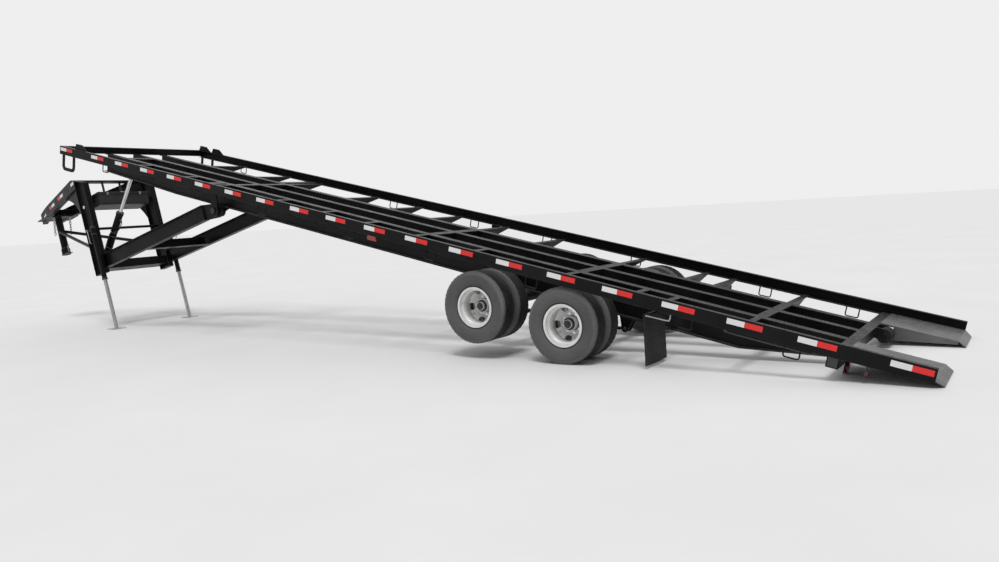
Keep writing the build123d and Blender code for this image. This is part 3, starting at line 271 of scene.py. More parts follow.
# Mud flaps in the bed frame; they hang plumb from their rod
FLAP_ROD = Vector((9.970, 0, -0.205))
FLAP_TURN = BED @ Matrix.Translation(FLAP_ROD) @ Matrix.Rotation(-TILT, 4, "Y")
FLAP_ROD_RADIUS = 0.012
FLAP_Y = 0.770
FLAP_WIDTH = 0.500
FLAP_HEIGHT = 0.470
FLAP_THICKNESS = 0.010
FLAP_COLUMNS = 20
FLAP_ROWS = 22
FLAP_CURL = 0.016
FLAP_CURL_EVEN = 0.55
FLAP_CURL_ARCH = 0.45
FLAP_ARCH_TURN = 1.6
FLAP_RIB = 0.0016
FLAP_RIB_ROWS = range(6, FLAP_ROWS - 1, 4)

# Welds in the neck and bed frames
WELD_RADIUS = 0.005
WELD_SIDES = 6
WELD_STEP = 1.6
WELD_VALLEY = 0.78
POST_X = (-3.370, -3.100)
POST_Y = 0.605
POST_HALF = 0.047
BEAM_HEIGHTS = (-0.064, 0.166)
NOSE_WELD_HEIGHTS = (1.36, 1.51)
NOSE_WELD_INSET = 0.004
LOOP_SHARES = (0.0963, 0.3722, 0.4944, 0.5915, 0.6969, 0.8293, 0.9067)
LOOP_HALF = 0.068
LOOP_INSET = 0.025
LOOP_WELD_CIRCLE = 0.009
LOOP_WELD_RADIUS = 0.003

# Jacks in the neck frame
JACK = Vector((-3.062, 0.695, 0))
JACK_RADIUS = 0.038
JACK_STACK = (
    (-0.260, 0.044, 0.034, 36, 0.003),
    (0.510, 0.042, 0.018, 36, 0.003),
    (0.618, 0.043, 0.022, 36, 0.003),
    (0.640, 0.040, 0.014, 36, 0.003, 0.0228),
)
JACK_NIPPLE_PLACE = Vector((-0.028, 0, 0.490))
JACK_NIPPLE = (0.005, 0.020, 10, 0.001, 0.003)
CRANK_Z = 0.580
CRANK_REACH = 0.113
CRANK_BOSS = (0.021, 0.030, 24, 0.002)
CRANK_HUB = (0.014, 0.024, 20, 0.002)
CRANK_HUB_HALF = 0.012
CRANK_ARM = (Vector((0.015, 0, -0.045)), Vector((0.018, 0, -0.200)))
CRANK_BEND = 0.022
CRANK_RADIUS = 0.007
BRACKET_BOLT_PLACE = (POST_X[1] + 0.019, POST_Y + POST_HALF + 0.044)
BRACKET_BOLT_HEIGHTS = (-0.015, 0.115)
BRACKET_BOLT = (0.010, 0.008)

# Coupler in the neck frame; the handle and the coil are set from the latch pin's foot
COUPLER = Vector((-5.250, 0, 0))
COUPLER_STACK = ((0.810, 0.068, 0.020, 48, 0.003), (1.570, 0.063, 0.010, 48, 0.003))
SET_BOLT_Y = 0.061
SET_BOLT_HEIGHTS = (1.452, 1.492)
SET_BOLT = (0.013, 0.016)
COUPLER_WELD = (0.05, 0.05, 1.41)
LATCH_PLACE = COUPLER + Vector((0.020, 0, 0.712))
LATCH_PLATE = (0.200, 0.118, 0.012)
LATCH_PIN = COUPLER + Vector((0.088, 0, 0.720))
LATCH_PIN_RADIUS = 0.007
LATCH_HANDLE = ((0, 0, 0.120), (0.010, 0, 0.130), (0.060, 0, 0.130), (0.070, 0, 0.122))
LATCH_HANDLE_RADIUS = 0.006
COIL_STEPS = 72
COIL_TURNS = 6
COIL_RADIUS = 0.011
COIL_START = 0.015
COIL_LENGTH = 0.075
COIL_WIRE = 0.0016

# Pump box in the neck frame
BOX_FRONT = -3.472
BOX_REAR = -3.048
BOX_TOP = 1.241
TOP_BEAM_LOW = 1.530
TOP_BEAM_X = -3.464
STRAP_PLACES = (-0.090, 0.230)
STRAP = (0.008, 0.040, TOP_BEAM_LOW - BOX_TOP)
STRAP_FOOT = (0.056, 0.040, 0.006)
STRAP_FOOT_X = 0.024
STRAP_BOLT_X = 0.030
STRAP_BOLT = (0.008, 0.006)
LID_PLACES = (-0.30, 0.30)
LID_HINGE = (0.006, 0.070, 14, 0.001)
LID_HINGE_PLACE = (BOX_FRONT - 0.003, -0.035, BOX_TOP - 0.014)
LID_LATCH = (0.006, 0.036, 0.050)
LID_LATCH_PLACE = (BOX_REAR + 0.003, BOX_TOP - 0.030)
LID_BOLT_PLACE = (BOX_REAR + 0.006, BOX_TOP - 0.020)
LID_BOLT = (0.006, 0.005)
GRIP = ((0, -0.06), (0.028, -0.055), (0.028, 0.055), (0, 0.06))
GRIP_DROP = 0.015
GRIP_RADIUS = 0.005

# Tilt cylinder: base pin in the neck frame, rod pin in the bed frame, the rest from the base pin
BASE_PIN = Vector((-3.510, -0.360, 0.128))
ROD_PIN_BED = Vector((0.528, -0.360, -0.245))
BARREL_RADIUS = 0.055
BARREL_LENGTH = 1.020
PORT_LOW = 0.110
PORT_HIGH = BARREL_LENGTH - 0.110
PORT_BOSS = (0.019, 0.022, 24, 0.002)
PORT_BOSS_REACH = BARREL_RADIUS - 0.004
PORT_NUT = (0.013, 0.014, 6, 0.001)
PORT_NUT_REACH = BARREL_RADIUS + 0.017
LINE = (
    (0.085, 0, PORT_HIGH),
    (0.107, 0, PORT_HIGH - 0.012),
    (0.113, 0, PORT_HIGH - 0.080),
    (0.089, 0, PORT_HIGH - 0.190),
    (0.048, -0.052, PORT_HIGH - 0.260),
    (0, -0.068, PORT_HIGH - 0.330),
    (0, -0.068, 0.300),
    (0, -0.075, 0.160),
    (0, -0.085, PORT_LOW),
)
LINE_RADIUS = 0.0075
BAND_PLACES = (0.330, 0.560, 0.640)
BAND_REACH = BARREL_RADIUS + 0.0015
BAND_RADIUS = 0.0025
GLAND_SCREWS = 6
GLAND_PLACE = (0.045, 0, BARREL_LENGTH - 0.002)
GLAND_SCREW = (0.006, 0.006, 6, 0.0006)

# Lamps in the bed frame, with rings as (x, radius, thickness), and post lamps in the neck frame
TAIL_LAMP = Vector((11.729, 0.900, -0.268))
TAIL_LAMP_RINGS = ((0.008, 0.049, 0.0045), (0.026, 0.02585, 0.0016))
MARKER = Vector((6.5515, 1.294, -0.153))
MARKER_SCREW_X = 0.053
MARKER_SCREW = (0.0035, 0.001, 12)
POST_LAMP = Vector((-3.225, POST_Y + POST_HALF, 1.027))
POST_LAMP_RING = (0.034, 0.010, 32, 0.002)
POST_LAMP_LENS = (0.028, 0.017, 32, 0.004, 0.024)

# Rear fittings in the bed frame; the rod and the stay are paths of (x, z)
CROSSBAR_CAP = Vector((11.679, 1.286, -0.160))
CROSSBAR_CAP_SIZE = (0.102, 0.006, 0.112)
TAG_X = 11.940
TAG_INSET = 0.030
TAG_SIZE = (0.012, 0.046, 0.100)
TAG_FOOT_PLACE = (0.018, 0, 0.046)
TAG_FOOT = (0.048, 0.046, 0.008)
TAG_LAMP_X = TAG_X + 0.006
TAG_LAMP_Z = -RAIL_HEIGHT - 0.060
TAG_LAMP = (0.018, 0.010, 24, 0.002, 0.015)
HOOK_ROD_Y = 0.026 - HALF_WIDTH
HOOK_ROD = ((10.774, -RAIL_HEIGHT), (10.794, -0.150), (11.485, -0.150), (11.505, -RAIL_HEIGHT))
HOOK_ROD_RADIUS = 0.008
STAY_Y = -1.262
STAY = (
    (9.985, -0.205),
    (10.040, -0.200),
    (10.200, -0.196),
    (10.225, -0.180),
    (10.226, -RAIL_HEIGHT),
)
STAY_RADIUS = 0.006


class Nodes:
    """Short way to add and join the nodes of one material."""

    def __init__(self, name):
        self.material = bpy.data.materials.new(name)
        self.material.use_nodes = True
        self.tree = self.material.node_tree
        self.shader = self.tree.nodes["Principled BSDF"]
        self.coords = self.add("ShaderNodeTexCoord").outputs["Object"]

    def add(self, kind, **values):
        """A node, with its inputs or settings given by name."""
        node = self.tree.nodes.new(kind)
        for key, value in values.items():
            if key in node.inputs:
                node.inputs[key].default_value = value
            else:
                setattr(node, key, value)
        return node

    def join(self, start, end):
        """A link between two sockets."""
        self.tree.links.new(start, end)

    def noise(self, settings, scale=1.0):
        """Noise over the object's own coordinates."""
        waves, detail, rough = settings
        node = self.add("ShaderNodeTexNoise", Scale=waves * scale, Detail=detail, Roughness=rough)
        self.join(self.coords, node.inputs["Vector"])
        return node.outputs["Fac"]

    def ramp(self, factor, stops):
        """Values between two stops over a factor."""
        node = self.add("ShaderNodeValToRGB")
        for element, (place, value) in zip(node.color_ramp.elements, stops):
            element.position = place
            element.color = (value, value, value, 1.0)
        self.join(factor, node.inputs["Fac"])
        return node.outputs["Color"]

    def pattern(self, recipe, scale=1.0):
        """Noise spread over a ramp."""
        settings, *stops = recipe
        return self.ramp(self.noise(settings, scale), stops)

    def mix(self, factor, first, second):
        """A mix of two colours, each a socket or a colour."""
        node = self.add("ShaderNodeMix", data_type="RGBA")
        self.join(factor, node.inputs["Factor"])
        for name, value in (("A", first), ("B", second)):
            socket = next(s for s in node.inputs if s.name == name and s.type == "RGBA")
            if hasattr(value, "is_linked"):
                self.join(value, socket)
            else:
                socket.default_value = (*value, 1.0)
        return next(s for s in node.outputs if s.type == "RGBA")

    def multiply(self, first, second):
        """The product of a socket and a second socket or number."""
        node = self.add("ShaderNodeMath", operation="MULTIPLY")
        self.join(first, node.inputs[0])
        if hasattr(second, "is_linked"):
            self.join(second, node.inputs[1])
        else:
            node.inputs[1].default_value = second
        return node.outputs["Value"]

    def layer(self, base, colour, recipe, share=1.0, scale=1.0):
        """A colour over a base where a pattern is high."""
        return self.mix(self.multiply(self.pattern(recipe, scale), share), base, colour)

    def facing_up(self, low, high):
        """How far the surface faces up, from 0 at low to 1 at high."""
        split = self.add("ShaderNodeSeparateXYZ")
        self.join(self.add("ShaderNodeNewGeometry").outputs["Normal"], split.inputs["Vector"])
        return self.ramp(split.outputs["Z"], ((low, 0.0), (high, 1.0)))

    def edge_wear_and_highlight(self, rounded, low, high):
        """1 close to an edge, for paint worn thin there and for a painted edge highlight, and 0 on
        flat faces.
        """
        across = self.add("ShaderNodeVectorMath", operation="DOT_PRODUCT")
        self.join(rounded, across.inputs[0])
        self.join(self.add("ShaderNodeNewGeometry").outputs["Normal"], across.inputs[1])
        return self.ramp(across.outputs["Value"], ((low, 1.0), (high, 0.0)))

    def colour(self, base):
        """The shader's colour."""
        self.join(base, self.shader.inputs["Base Color"])

    def gloss(self, recipe, values, scale=1.0):
        """The shader's roughness, between two values over noise."""
        settings, places = recipe
        stops = tuple(zip(places, values))
        self.join(self.pattern((settings, *stops), scale), self.shader.inputs["Roughness"])

    def bump(self, height, strength, distance, rounded=None):
        """Fine relief on the shader's normal, over rounded edges if given."""
        node = self.add("ShaderNodeBump", Strength=strength, Distance=distance)
        self.join(height, node.inputs["Height"])
        if rounded:
            self.join(rounded, node.inputs["Normal"])
        self.join(node.outputs["Normal"], self.shader.inputs["Normal"])

    def relief(self, recipe, scale=1.0, rounded=None):
        """Relief from noise."""
        settings, strength, distance = recipe
        self.bump(self.noise(settings, scale), strength, distance, rounded)

    def set(self, **values):
        """Constants on the shader's own sockets."""
        for key, value in values.items():
            self.shader.inputs[key.replace("_", " ")].default_value = value


def paint(name, colour, lighter, dust, rough=(0.28, 0.5), dusty=0.5, wear_and_highlight=0.5, level=0.13):
    """Sprayed paint with blotches, dust on top faces, and edges worn pale, which also paints a
    highlight along the edges.
    """
    n = Nodes(name)
    rounded = n.add("ShaderNodeBevel", samples=EDGE_SAMPLES, Radius=EDGE_RADIUS).outputs["Normal"]
    base = n.layer(colour, lighter, PAINT_BLOTCH)
    specks = n.multiply(n.pattern(PAINT_SPECK), n.pattern(PAINT_PATCH))
    film = n.multiply(n.facing_up(*DUST_FACING), n.multiply(specks, dusty))
    base = n.mix(film, base, dust)
    # Edges go pale in the dust colour: partly paint worn thin, partly a painted highlight along
    # them
    worn_and_highlit = n.multiply(n.edge_wear_and_highlight(rounded, *EDGE_BEND), n.pattern(PAINT_RUB_AND_HIGHLIGHT))
    n.colour(n.mix(n.multiply(worn_and_highlit, wear_and_highlight), base, dust))
    n.gloss(PAINT_GLOSS, rough)
    n.relief(PAINT_RELIEF, rounded=rounded)
    n.set(Specular_IOR_Level=level, Coat_Weight=0.03, Coat_Roughness=0.25)
    return n.material


def metal(name, colour, darker, rough=(0.25, 0.45), scale=30.0):
    """Bare or plated metal with a light grain."""
    n = Nodes(name)
    n.colour(n.layer(colour, darker, METAL_TONE, scale=scale))
    n.gloss(METAL_GLOSS, rough, scale)
    n.relief(METAL_RELIEF, scale)
    n.set(Metallic=1.0)
    return n.material


def rubber(name, colour, dust, scale=9.0, strength=0.25):
    """Weathered rubber, greyer where dust clings."""
    n = Nodes(name)
    base = n.layer(colour, dust, RUBBER_BROAD, RUBBER_BROAD_SHARE, scale)
    n.colour(n.layer(base, dust, RUBBER_FINE, RUBBER_FINE_SHARE, scale))
    n.gloss(RUBBER_GLOSS, RUBBER_ROUGH, scale)
    n.bump(n.noise(RUBBER_PORES), strength, RUBBER_DEPTH)
    n.set(Specular_IOR_Level=0.3)
    return n.material


def wheel_paint(name, colour, darker, grime):
    """Silver wheel paint with specks of brake dust."""
    n = Nodes(name)
    base = n.layer(colour, darker, WHEEL_TONE)
    n.colour(n.layer(base, grime, WHEEL_GRIME, WHEEL_GRIME_SHARE))
    n.gloss(WHEEL_GLOSS, WHEEL_ROUGH)
    n.relief(WHEEL_RELIEF)
    n.set(Metallic=0.08, Coat_Weight=0.15, Coat_Roughness=0.3)
    return n.material


def reflective(name, colour, deeper):
    """Reflective strip with its small cells showing."""
    n = Nodes(name)
    cells = n.add("ShaderNodeTexVoronoi", Scale=CELL_SCALE)
    n.join(n.coords, cells.inputs["Vector"])
    tone = n.ramp(cells.outputs["Distance"], CELL_STOPS)
    base = n.mix(n.multiply(tone, CELL_SHARE), colour, deeper)
    n.colour(n.layer(base, STRIP_DIRT_COLOUR, STRIP_DIRT, STRIP_DIRT_SHARE))
    n.gloss(STRIP_GLOSS, STRIP_ROUGH)
    n.bump(cells.outputs["Distance"], *CELL_RELIEF)
    return n.material


def lens(name, colour, deeper):
    """Moulded lamp lens with fine prisms."""
    n = Nodes(name)
    ribs = n.add("ShaderNodeTexWave", Scale=LENS_WAVES, Distortion=LENS_BEND)
    n.join(n.coords, ribs.inputs["Vector"])
    n.colour(n.mix(ribs.outputs["Fac"], colour, deeper))
    n.gloss(LENS_GLOSS, LENS_ROUGH)
    n.bump(ribs.outputs["Fac"], *LENS_RELIEF)
    n.set(Coat_Weight=0.6, Coat_Roughness=0.08)
    return n.material


BLACK = paint("black_paint", (0.004, 0.004, 0.0045), (0.009, 0.009, 0.010), (0.20, 0.19, 0.18))
DECK = paint(
    "deck_paint",
    (0.004, 0.004, 0.0045), (0.010, 0.010, 0.011), (0.26, 0.255, 0.25),
    rough=(0.3, 0.5), dusty=0.75, wear_and_highlight=0.6,
)
# Fork plates: the black paint lightened to grey, a painted sun reflection, under heavier dust
FORK_PAINT_AND_REFLECTION = paint(
    "fork_paint_and_painted_reflection",
    (0.035, 0.035, 0.037), (0.13, 0.13, 0.134), (0.40, 0.39, 0.38),
    rough=(0.25, 0.42), dusty=0.9, wear_and_highlight=0.7, level=0.5,
)
BOX = paint(
    "box_paint",
    (0.028, 0.028, 0.030), (0.045, 0.045, 0.048), (0.20, 0.19, 0.18),
    rough=(0.3, 0.5), dusty=0.4, wear_and_highlight=0.3,
)
BOLT = paint(
    "painted_steel",
    (0.016, 0.016, 0.017), (0.05, 0.05, 0.052), (0.25, 0.24, 0.23),
    rough=(0.25, 0.45), dusty=0.6, wear_and_highlight=0.6, level=0.5,
)
CHROME = metal("rod_chrome", (0.78, 0.78, 0.79), (0.60, 0.60, 0.62), (0.08, 0.18), 12.0)
NUT = metal("nut_chrome", (0.90, 0.90, 0.90), (0.70, 0.70, 0.70), (0.14, 0.28), 60.0)
ZINC = metal("zinc_plate", (0.58, 0.59, 0.60), (0.38, 0.38, 0.39), (0.3, 0.5))
WELD = metal("weld_bead", (0.10, 0.10, 0.10), (0.04, 0.04, 0.04), (0.35, 0.6))
SIDEWALL = rubber("tyre_sidewall", (0.078, 0.078, 0.079), (0.150, 0.149, 0.146), 4.0, 0.12)
# Shoulder rubber: a lighter copy of the sidewall rubber, a painted highlight along the tyre's
# shoulder
SHOULDER_HIGHLIGHT = rubber("tyre_shoulder_painted_highlight", (0.095, 0.095, 0.095), (0.170, 0.168, 0.164), 7.0, 0.2)
TREAD = rubber("tyre_tread", (0.010, 0.010, 0.010), (0.040, 0.039, 0.037), 14.0, 0.3)
FLAP = rubber("flap_rubber", (0.016, 0.016, 0.017), (0.042, 0.041, 0.040), 5.0, 0.35)
ROLLER = rubber("roller_rubber", (0.008, 0.008, 0.008), (0.03, 0.03, 0.03))
RIM = wheel_paint("wheel_silver", (0.83, 0.83, 0.82), (0.70, 0.70, 0.70), (0.34, 0.33, 0.31))
WHITE_STRIP = reflective("strip_white", (0.82, 0.83, 0.82), (0.70, 0.71, 0.71))
RED_STRIP = reflective("strip_red", (0.80, 0.018, 0.016), (0.62, 0.010, 0.010))
RED_LENS = lens("red_lens", (0.36, 0.02, 0.02), (0.20, 0.008, 0.008))
CLEAR_LENS = lens("clear_lens", (0.75, 0.76, 0.76), (0.5, 0.51, 0.52))

# Materials of the carried-over nodes; all others are black
NODE_MATERIALS = (
    (DECK, ("outer_rails", "crossmembers", "centre_beam", "main_beams", "outriggers")),
    (DECK, ("front_header", "rear_crossbar")),
    (FORK_PAINT_AND_REFLECTION, ("forks",)),
    (ROLLER, ("rear_roller",)),
    (ZINC, ("hinge_pins", "safety_chains", "jack_legs")),
    (RED_LENS, ("lamps",)),
    (CHROME, ("cylinder_rod",)),
    (BOX, ("pump_box", "pump_box_cover")),
    (RIM, [f"rims_{name}" for name in WHEELS]),
    (SIDEWALL, [f"tyres_{name}" for name in WHEELS]),
)


def dress_nodes():
    """Every carried-over node gets its procedural material."""
    for name, node in NODES.items():
        fitting = (material for material, names in NODE_MATERIALS if name in names)
        node.data.materials.clear()
        node.data.materials.append(next(fitting, BLACK))


def outward(mesh):
    """The mesh with its faces turned outward."""
    bmesh.ops.recalc_face_normals(mesh, faces=mesh.faces)
    return mesh


def piece(name, mesh, material, body):
    """An object from a mesh, which rides on a body."""
    data = bpy.data.meshes.new(name)
    mesh.to_mesh(data)
    mesh.free()
    for layer in material if isinstance(material, tuple) else (material,):
        data.materials.append(layer)
    made = bpy.data.objects.new(name, data)
    bpy.context.scene.collection.objects.link(made)
    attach(made, body)
    return made


def along(start, direction):
    """A place at start whose z axis runs along a direction."""
    turn = Vector(direction).to_track_quat("Z", "Y").to_matrix().to_4x4()
    return Matrix.Translation(start) @ turn


def at(base, *place):
    """A place shifted within a base."""
    return base @ Matrix.Translation(place)


def mirror(place, side):
    """A place of the right side, on the given side."""
    return Vector((place.x, side * place.y, place.z))


def bar_frame(start, end):
    """A place at start with its z axis toward end and its y axis across the trailer."""
    z = (end - start).normalized()
    y = Vector((0, 1, 0))
    turn = Matrix((y.cross(z).normalized(), y, z)).transposed().to_4x4()
    return Matrix.Translation(start) @ turn


def edges_of(made):
    """The edges of a new solid, in the same order each run."""
    return list(dict.fromkeys(edge for vert in made["verts"] for edge in vert.link_edges))


def bevel_edges(mesh, edges, width):
    """Two-step soft edges."""
    bmesh.ops.bevel(mesh, geom=edges, offset=width, segments=2, affect="EDGES", profile=0.6)


def add_box(mesh, matrix, size, bevel=0.0):
    """A block centred on a place, with softened edges if given."""
    made = bmesh.ops.create_cube(mesh, size=1.0, matrix=matrix @ Matrix.Diagonal((*size, 1.0)))
    if bevel:
        bevel_edges(mesh, edges_of(made), bevel)


def add_prism(mesh, matrix, radius, length, sides, bevel=0.0, top=None):
    """A round or many-sided bar along local z, from its base upward."""
    made = bmesh.ops.create_cone(
        mesh,
        cap_ends=True,
        segments=sides,
        radius1=radius,
        radius2=radius if top is None else top,
        depth=length,
        matrix=at(matrix, 0, 0, length / 2),
    )
    if bevel:
        edges = edges_of(made)
        rims = [edge for edge in edges if any(len(face.verts) > 4 for face in edge.link_faces)]
        bevel_edges(mesh, rims, bevel)


def add_stack(mesh, place, parts):
    """Round parts set along one axis."""
    for rise, *sizes in parts:
        add_prism(mesh, at(place, 0, 0, rise), *sizes)


def add_bolt(mesh, base, point, direction, size, length):
    """A hex head on its washer."""
    place = base @ along(point, direction)
    washer = size * 0.25
    add_prism(mesh, place, size * 1.4, washer, 18)
    turned = at(place, 0, 0, washer) @ Matrix.Rotation(point[0] * 31, 4, "Z")
    add_prism(mesh, turned, size, length, 6, size * 0.08)


def bridge(mesh, rings, around=False):
    """Smooth faces between neighbouring rings, with their places in the ring."""
    pairs = list(zip(rings, rings[1:]))
    if around:
        pairs.append((rings[-1], rings[0]))
    faces = []
    for ring, following in pairs:
        for index, here in enumerate(ring):
            after = (index + 1) % len(ring)
            face = mesh.faces.new((here, ring[after], following[after], following[index]))
            face.smooth = True
            faces.append((index, face))
    return faces


def circle(spot, across, other, radius, sides):
    """Points round a spot, in the plane of two directions."""
    turns = [math.tau * step / sides for step in range(sides)]
    return [spot + radius * (across * math.cos(t) + other * math.sin(t)) for t in turns]


def add_tube(mesh, base, points, radius, sides):
    """A round bar along a path, with closed ends."""
    path = [base @ Vector(point) for point in points]
    rings = []
    across = None
    for index, spot in enumerate(path):
        before = path[max(index - 1, 0)]
        after = path[min(index + 1, len(path) - 1)]
        forward = (after - before).normalized()
        if across is None:
            across = forward.orthogonal().normalized()
        across = (across - forward * across.dot(forward)).normalized()
        ring = circle(spot, across, forward.cross(across), radius, sides)
        rings.append([mesh.verts.new(point) for point in ring])
    bridge(mesh, rings)
    mesh.faces.new(list(reversed(rings[0])))
    mesh.faces.new(rings[-1])


def add_weld(mesh, base, start, end):
    """A rippled weld bead between two points."""
    start, end = Vector(start), Vector(end)
    count = max(2, int((end - start).length / (WELD_RADIUS * WELD_STEP)))
    forward = (end - start).normalized()
    across = forward.orthogonal().normalized()
    rings = []
    for step in range(count + 1):
        swell = WELD_RADIUS * (1.0 if step % 2 else WELD_VALLEY)
        spot = start.lerp(end, step / count)
        ring = circle(spot, across, forward.cross(across), swell, WELD_SIDES)
        rings.append([mesh.verts.new(base @ point) for point in ring])
    bridge(mesh, rings)


def curved(points, steps):
    """A smooth path through the given points."""
    path = []
    spots = [Vector(point) for point in points]
    for index in range(len(spots) - 1):
        p0 = spots[max(index - 1, 0)]
        p1, p2 = spots[index], spots[index + 1]
        p3 = spots[min(index + 2, len(spots) - 1)]
        for step in range(steps):
            t = step / steps
            square = (2 * p0 - 5 * p1 + 4 * p2 - p3) * t * t
            cube = (3 * p1 - p0 - 3 * p2 + p3) * t * t * t
            path.append(0.5 * (2 * p1 + (p2 - p0) * t + square + cube))
    path.append(spots[-1])
    return path


def arc(centre, radius, start, end, plane, steps):
    """Points of an arc in degrees, in the x-z, x-y or y-z plane."""
    points = []
    for step in range(steps + 1):
        turn = math.radians(start + (end - start) * step / steps)
        one, two = radius * math.cos(turn), radius * math.sin(turn)
        offset = {"xz": (one, 0, two), "xy": (one, two, 0), "yz": (0, one, two)}[plane]
        points.append(Vector(centre) + Vector(offset))
    return points


def tyre_profile():
    """(y, radius, kind) points from one bead over the tread to the other."""
    points = [(-y, radius, kind) for y, radius, kind in TYRE_SIDE]
    for groove in GROOVE_PLACES:
        for share, depth, kind in GROOVE_SHAPE:
            y = groove + GROOVE_HALF * share
            surface = TREAD_CROWN - TREAD_FALL * (y / TREAD_HALF) ** 2
            points.append((y, surface - depth, kind))
    return points + list(reversed(TYRE_SIDE))


def add_tyre(mesh, centre):
    """A lathe-turned tyre with ribs, wavy grooves and notched shoulders."""
    profile = tyre_profile()
    rings = []
    for step in range(TYRE_STEPS):
        turn = math.tau * step / TYRE_STEPS
        wave = WAVE if step % WAVE_STEPS < WAVE_STEPS / 2 else -WAVE
        ring = []
        for y, radius, kind in profile:
            if kind == "notch" and step % NOTCH_STEPS == 0:
                radius -= NOTCH_DEPTH * min(1.0, (radius - NOTCH_START) / NOTCH_RUN)
            if kind in ("rib", "floor"):
                y += wave
            x, z = radius * math.cos(turn), radius * math.sin(turn)
            ring.append(mesh.verts.new((centre.x + x, centre.y + y, centre.z + z)))
        rings.append(ring)
    for index, face in bridge(mesh, rings, around=True):
        kind = profile[index][2]
        face.smooth = kind == "wall"
        face.material_index = TYRE_SLOTS[kind]


def tyres():
    """Both tyres of each twin wheel."""
    for name, (_, centre) in WHEELS.items():
        mesh = bmesh.new()
        for offset in (-TWIN_HALF_SPACING, TWIN_HALF_SPACING):
            add_tyre(mesh, centre + Vector((0, offset, 0)))
        materials = (SIDEWALL, TREAD, SHOULDER_HIGHLIGHT)
        pair = piece(f"tyre_pair_{name}", outward(mesh), materials, f"wheel_{name}")
        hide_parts(f"tyres_{name}")


def rim_wells():
    """Stepped drop centre and lip edge of each outer rim."""
    for name, (out, centre) in WHEELS.items():
        mesh = bmesh.new()
        rings = []
        for step in range(WELL_STEPS):
            turn = math.tau * step / WELL_STEPS
            ring = []
            for y, radius in WELL_PROFILE:
                spot = Vector((radius * math.cos(turn), out * y, radius * math.sin(turn)))
                ring.append(mesh.verts.new(centre + spot))
            rings.append(ring)
        bridge(mesh, rings, around=True)
        piece(f"rim_well_{name}", outward(mesh), RIM, f"wheel_{name}")


def wheel_nuts():
    """Bright studs and nuts round each outer disc."""
    for name, (out, centre) in WHEELS.items():
        mesh = bmesh.new()
        face = centre + Vector((0, out * DISC_FACE, 0))
        for index in range(NUT_COUNT):
            turn = math.tau * index / NUT_COUNT + NUT_START
            spot = face + Vector((math.cos(turn), 0, math.sin(turn))) * NUT_CIRCLE
            place = along(spot, (0, out, 0)) @ Matrix.Rotation(index * NUT_TWIST, 4, "Z")
            add_stack(mesh, place, NUT_STACK)
        piece(f"wheel_nuts_{name}", mesh, NUT, f"wheel_{name}")


def valve_stems(name, out, centre):
    """Two bent stems with caps through an outer rim's slots."""
    mesh = bmesh.new()
    base = Matrix.Translation(centre) @ Matrix.Diagonal((1, out, 1, 1))
    foot, bend, neck, tip = STEM_PLACES
    for turn in STEM_TURNS:
        x, z = STEM_CIRCLE * math.cos(turn), STEM_CIRCLE * math.sin(turn)
        lean = [(x * STEM_LEAN, y, z * STEM_LEAN) for y in (neck, tip)]
        add_tube(mesh, base, [(x, foot, z), (x, bend, z), lean[0]], STEM_RADIUS, 10)
        add_tube(mesh, base, lean, STEM_CAP_RADIUS, 10)
    piece(f"valve_stems_{name}", outward(mesh), ZINC, f"wheel_{name}")


def hubs():
    """Dark hubs with flange bolts and cap, each with its wheel's valve stems."""
    for name, (out, centre) in WHEELS.items():
        mesh = bmesh.new()
        face = along(centre + Vector((0, out * DISC_FACE, 0)), (0, out, 0))
        add_stack(mesh, face, HUB_STACK)
        for index in range(NUT_COUNT):
            turn = Matrix.Rotation(math.tau * index / NUT_COUNT, 4, "Z")
            add_prism(mesh, at(face @ turn, *HUB_BOLT_PLACE), *HUB_BOLT)
        piece(f"hub_cover_{name}", mesh, BOLT, f"wheel_{name}")
        valve_stems(name, out, centre)


def spring_pins():
    """(x, z) of the pins that hold one side's springs, from front to rear."""
    front, rear, eye = FRONT_AXLE_BED, REAR_AXLE_BED, SPRING_EYE
    return (
        (front.x - eye.x, front.z + eye.z),
        (front.x + eye.x, front.z + eye.z),
        (front.x + eye.x + SHACKLE, front.z + eye.z),
        ((front.x + rear.x) / 2, (front.z + rear.z) / 2 + eye.z),
        (rear.x - eye.x - SHACKLE, rear.z + eye.z),
        (rear.x - eye.x, rear.z + eye.z),
        (rear.x + eye.x, rear.z + eye.z),
    )


def suspension():
    """U-bolts, tie plates, spring clips and the nuts of every pin."""
    mesh = bmesh.new()
    for axle in (FRONT_AXLE_BED, REAR_AXLE_BED):
        for side in (-1, 1):
            for edge in (-1, 1):
                y = side * SPRING_Y + edge * U_BOLT_Y
                hoop = [(axle.x - U_BOLT_X, y, axle.z - U_BOLT_LEG)]
                hoop += arc((axle.x, y, axle.z), U_BOLT_X, 180, 0, "xz", 18)
                hoop += [(axle.x + U_BOLT_X, y, axle.z - U_BOLT_LEG)]
                add_tube(mesh, BED, hoop, U_BOLT_RADIUS, 10)
                under = axle.z - TIE_PLATE_DROP - TIE_PLATE[2] / 2
                for end in (-1, 1):
                    spot = (axle.x + end * U_BOLT_X, y, under)
                    add_bolt(mesh, BED, spot, -UP, *U_BOLT_NUT)
            centre = at(BED, axle.x, side * SPRING_Y, axle.z)
            add_box(mesh, at(centre, 0, 0, -TIE_PLATE_DROP), TIE_PLATE, 0.002)
            for end in (-1, 1):
                clip = at(centre, end * SPRING_CLIP_X, 0, -SPRING_CLIP_DROP)
                add_box(mesh, clip, SPRING_CLIP, 0.002)
    for x, z in spring_pins():
        for side in (-1, 1):
            for edge in (-1, 1):
                spot = (x, side * SPRING_Y + edge * HANGER_REACH, z)
                add_bolt(mesh, BED, spot, (0, edge, 0), *SPRING_NUT)
    piece("spring_fasteners", mesh, BOLT, "bed")


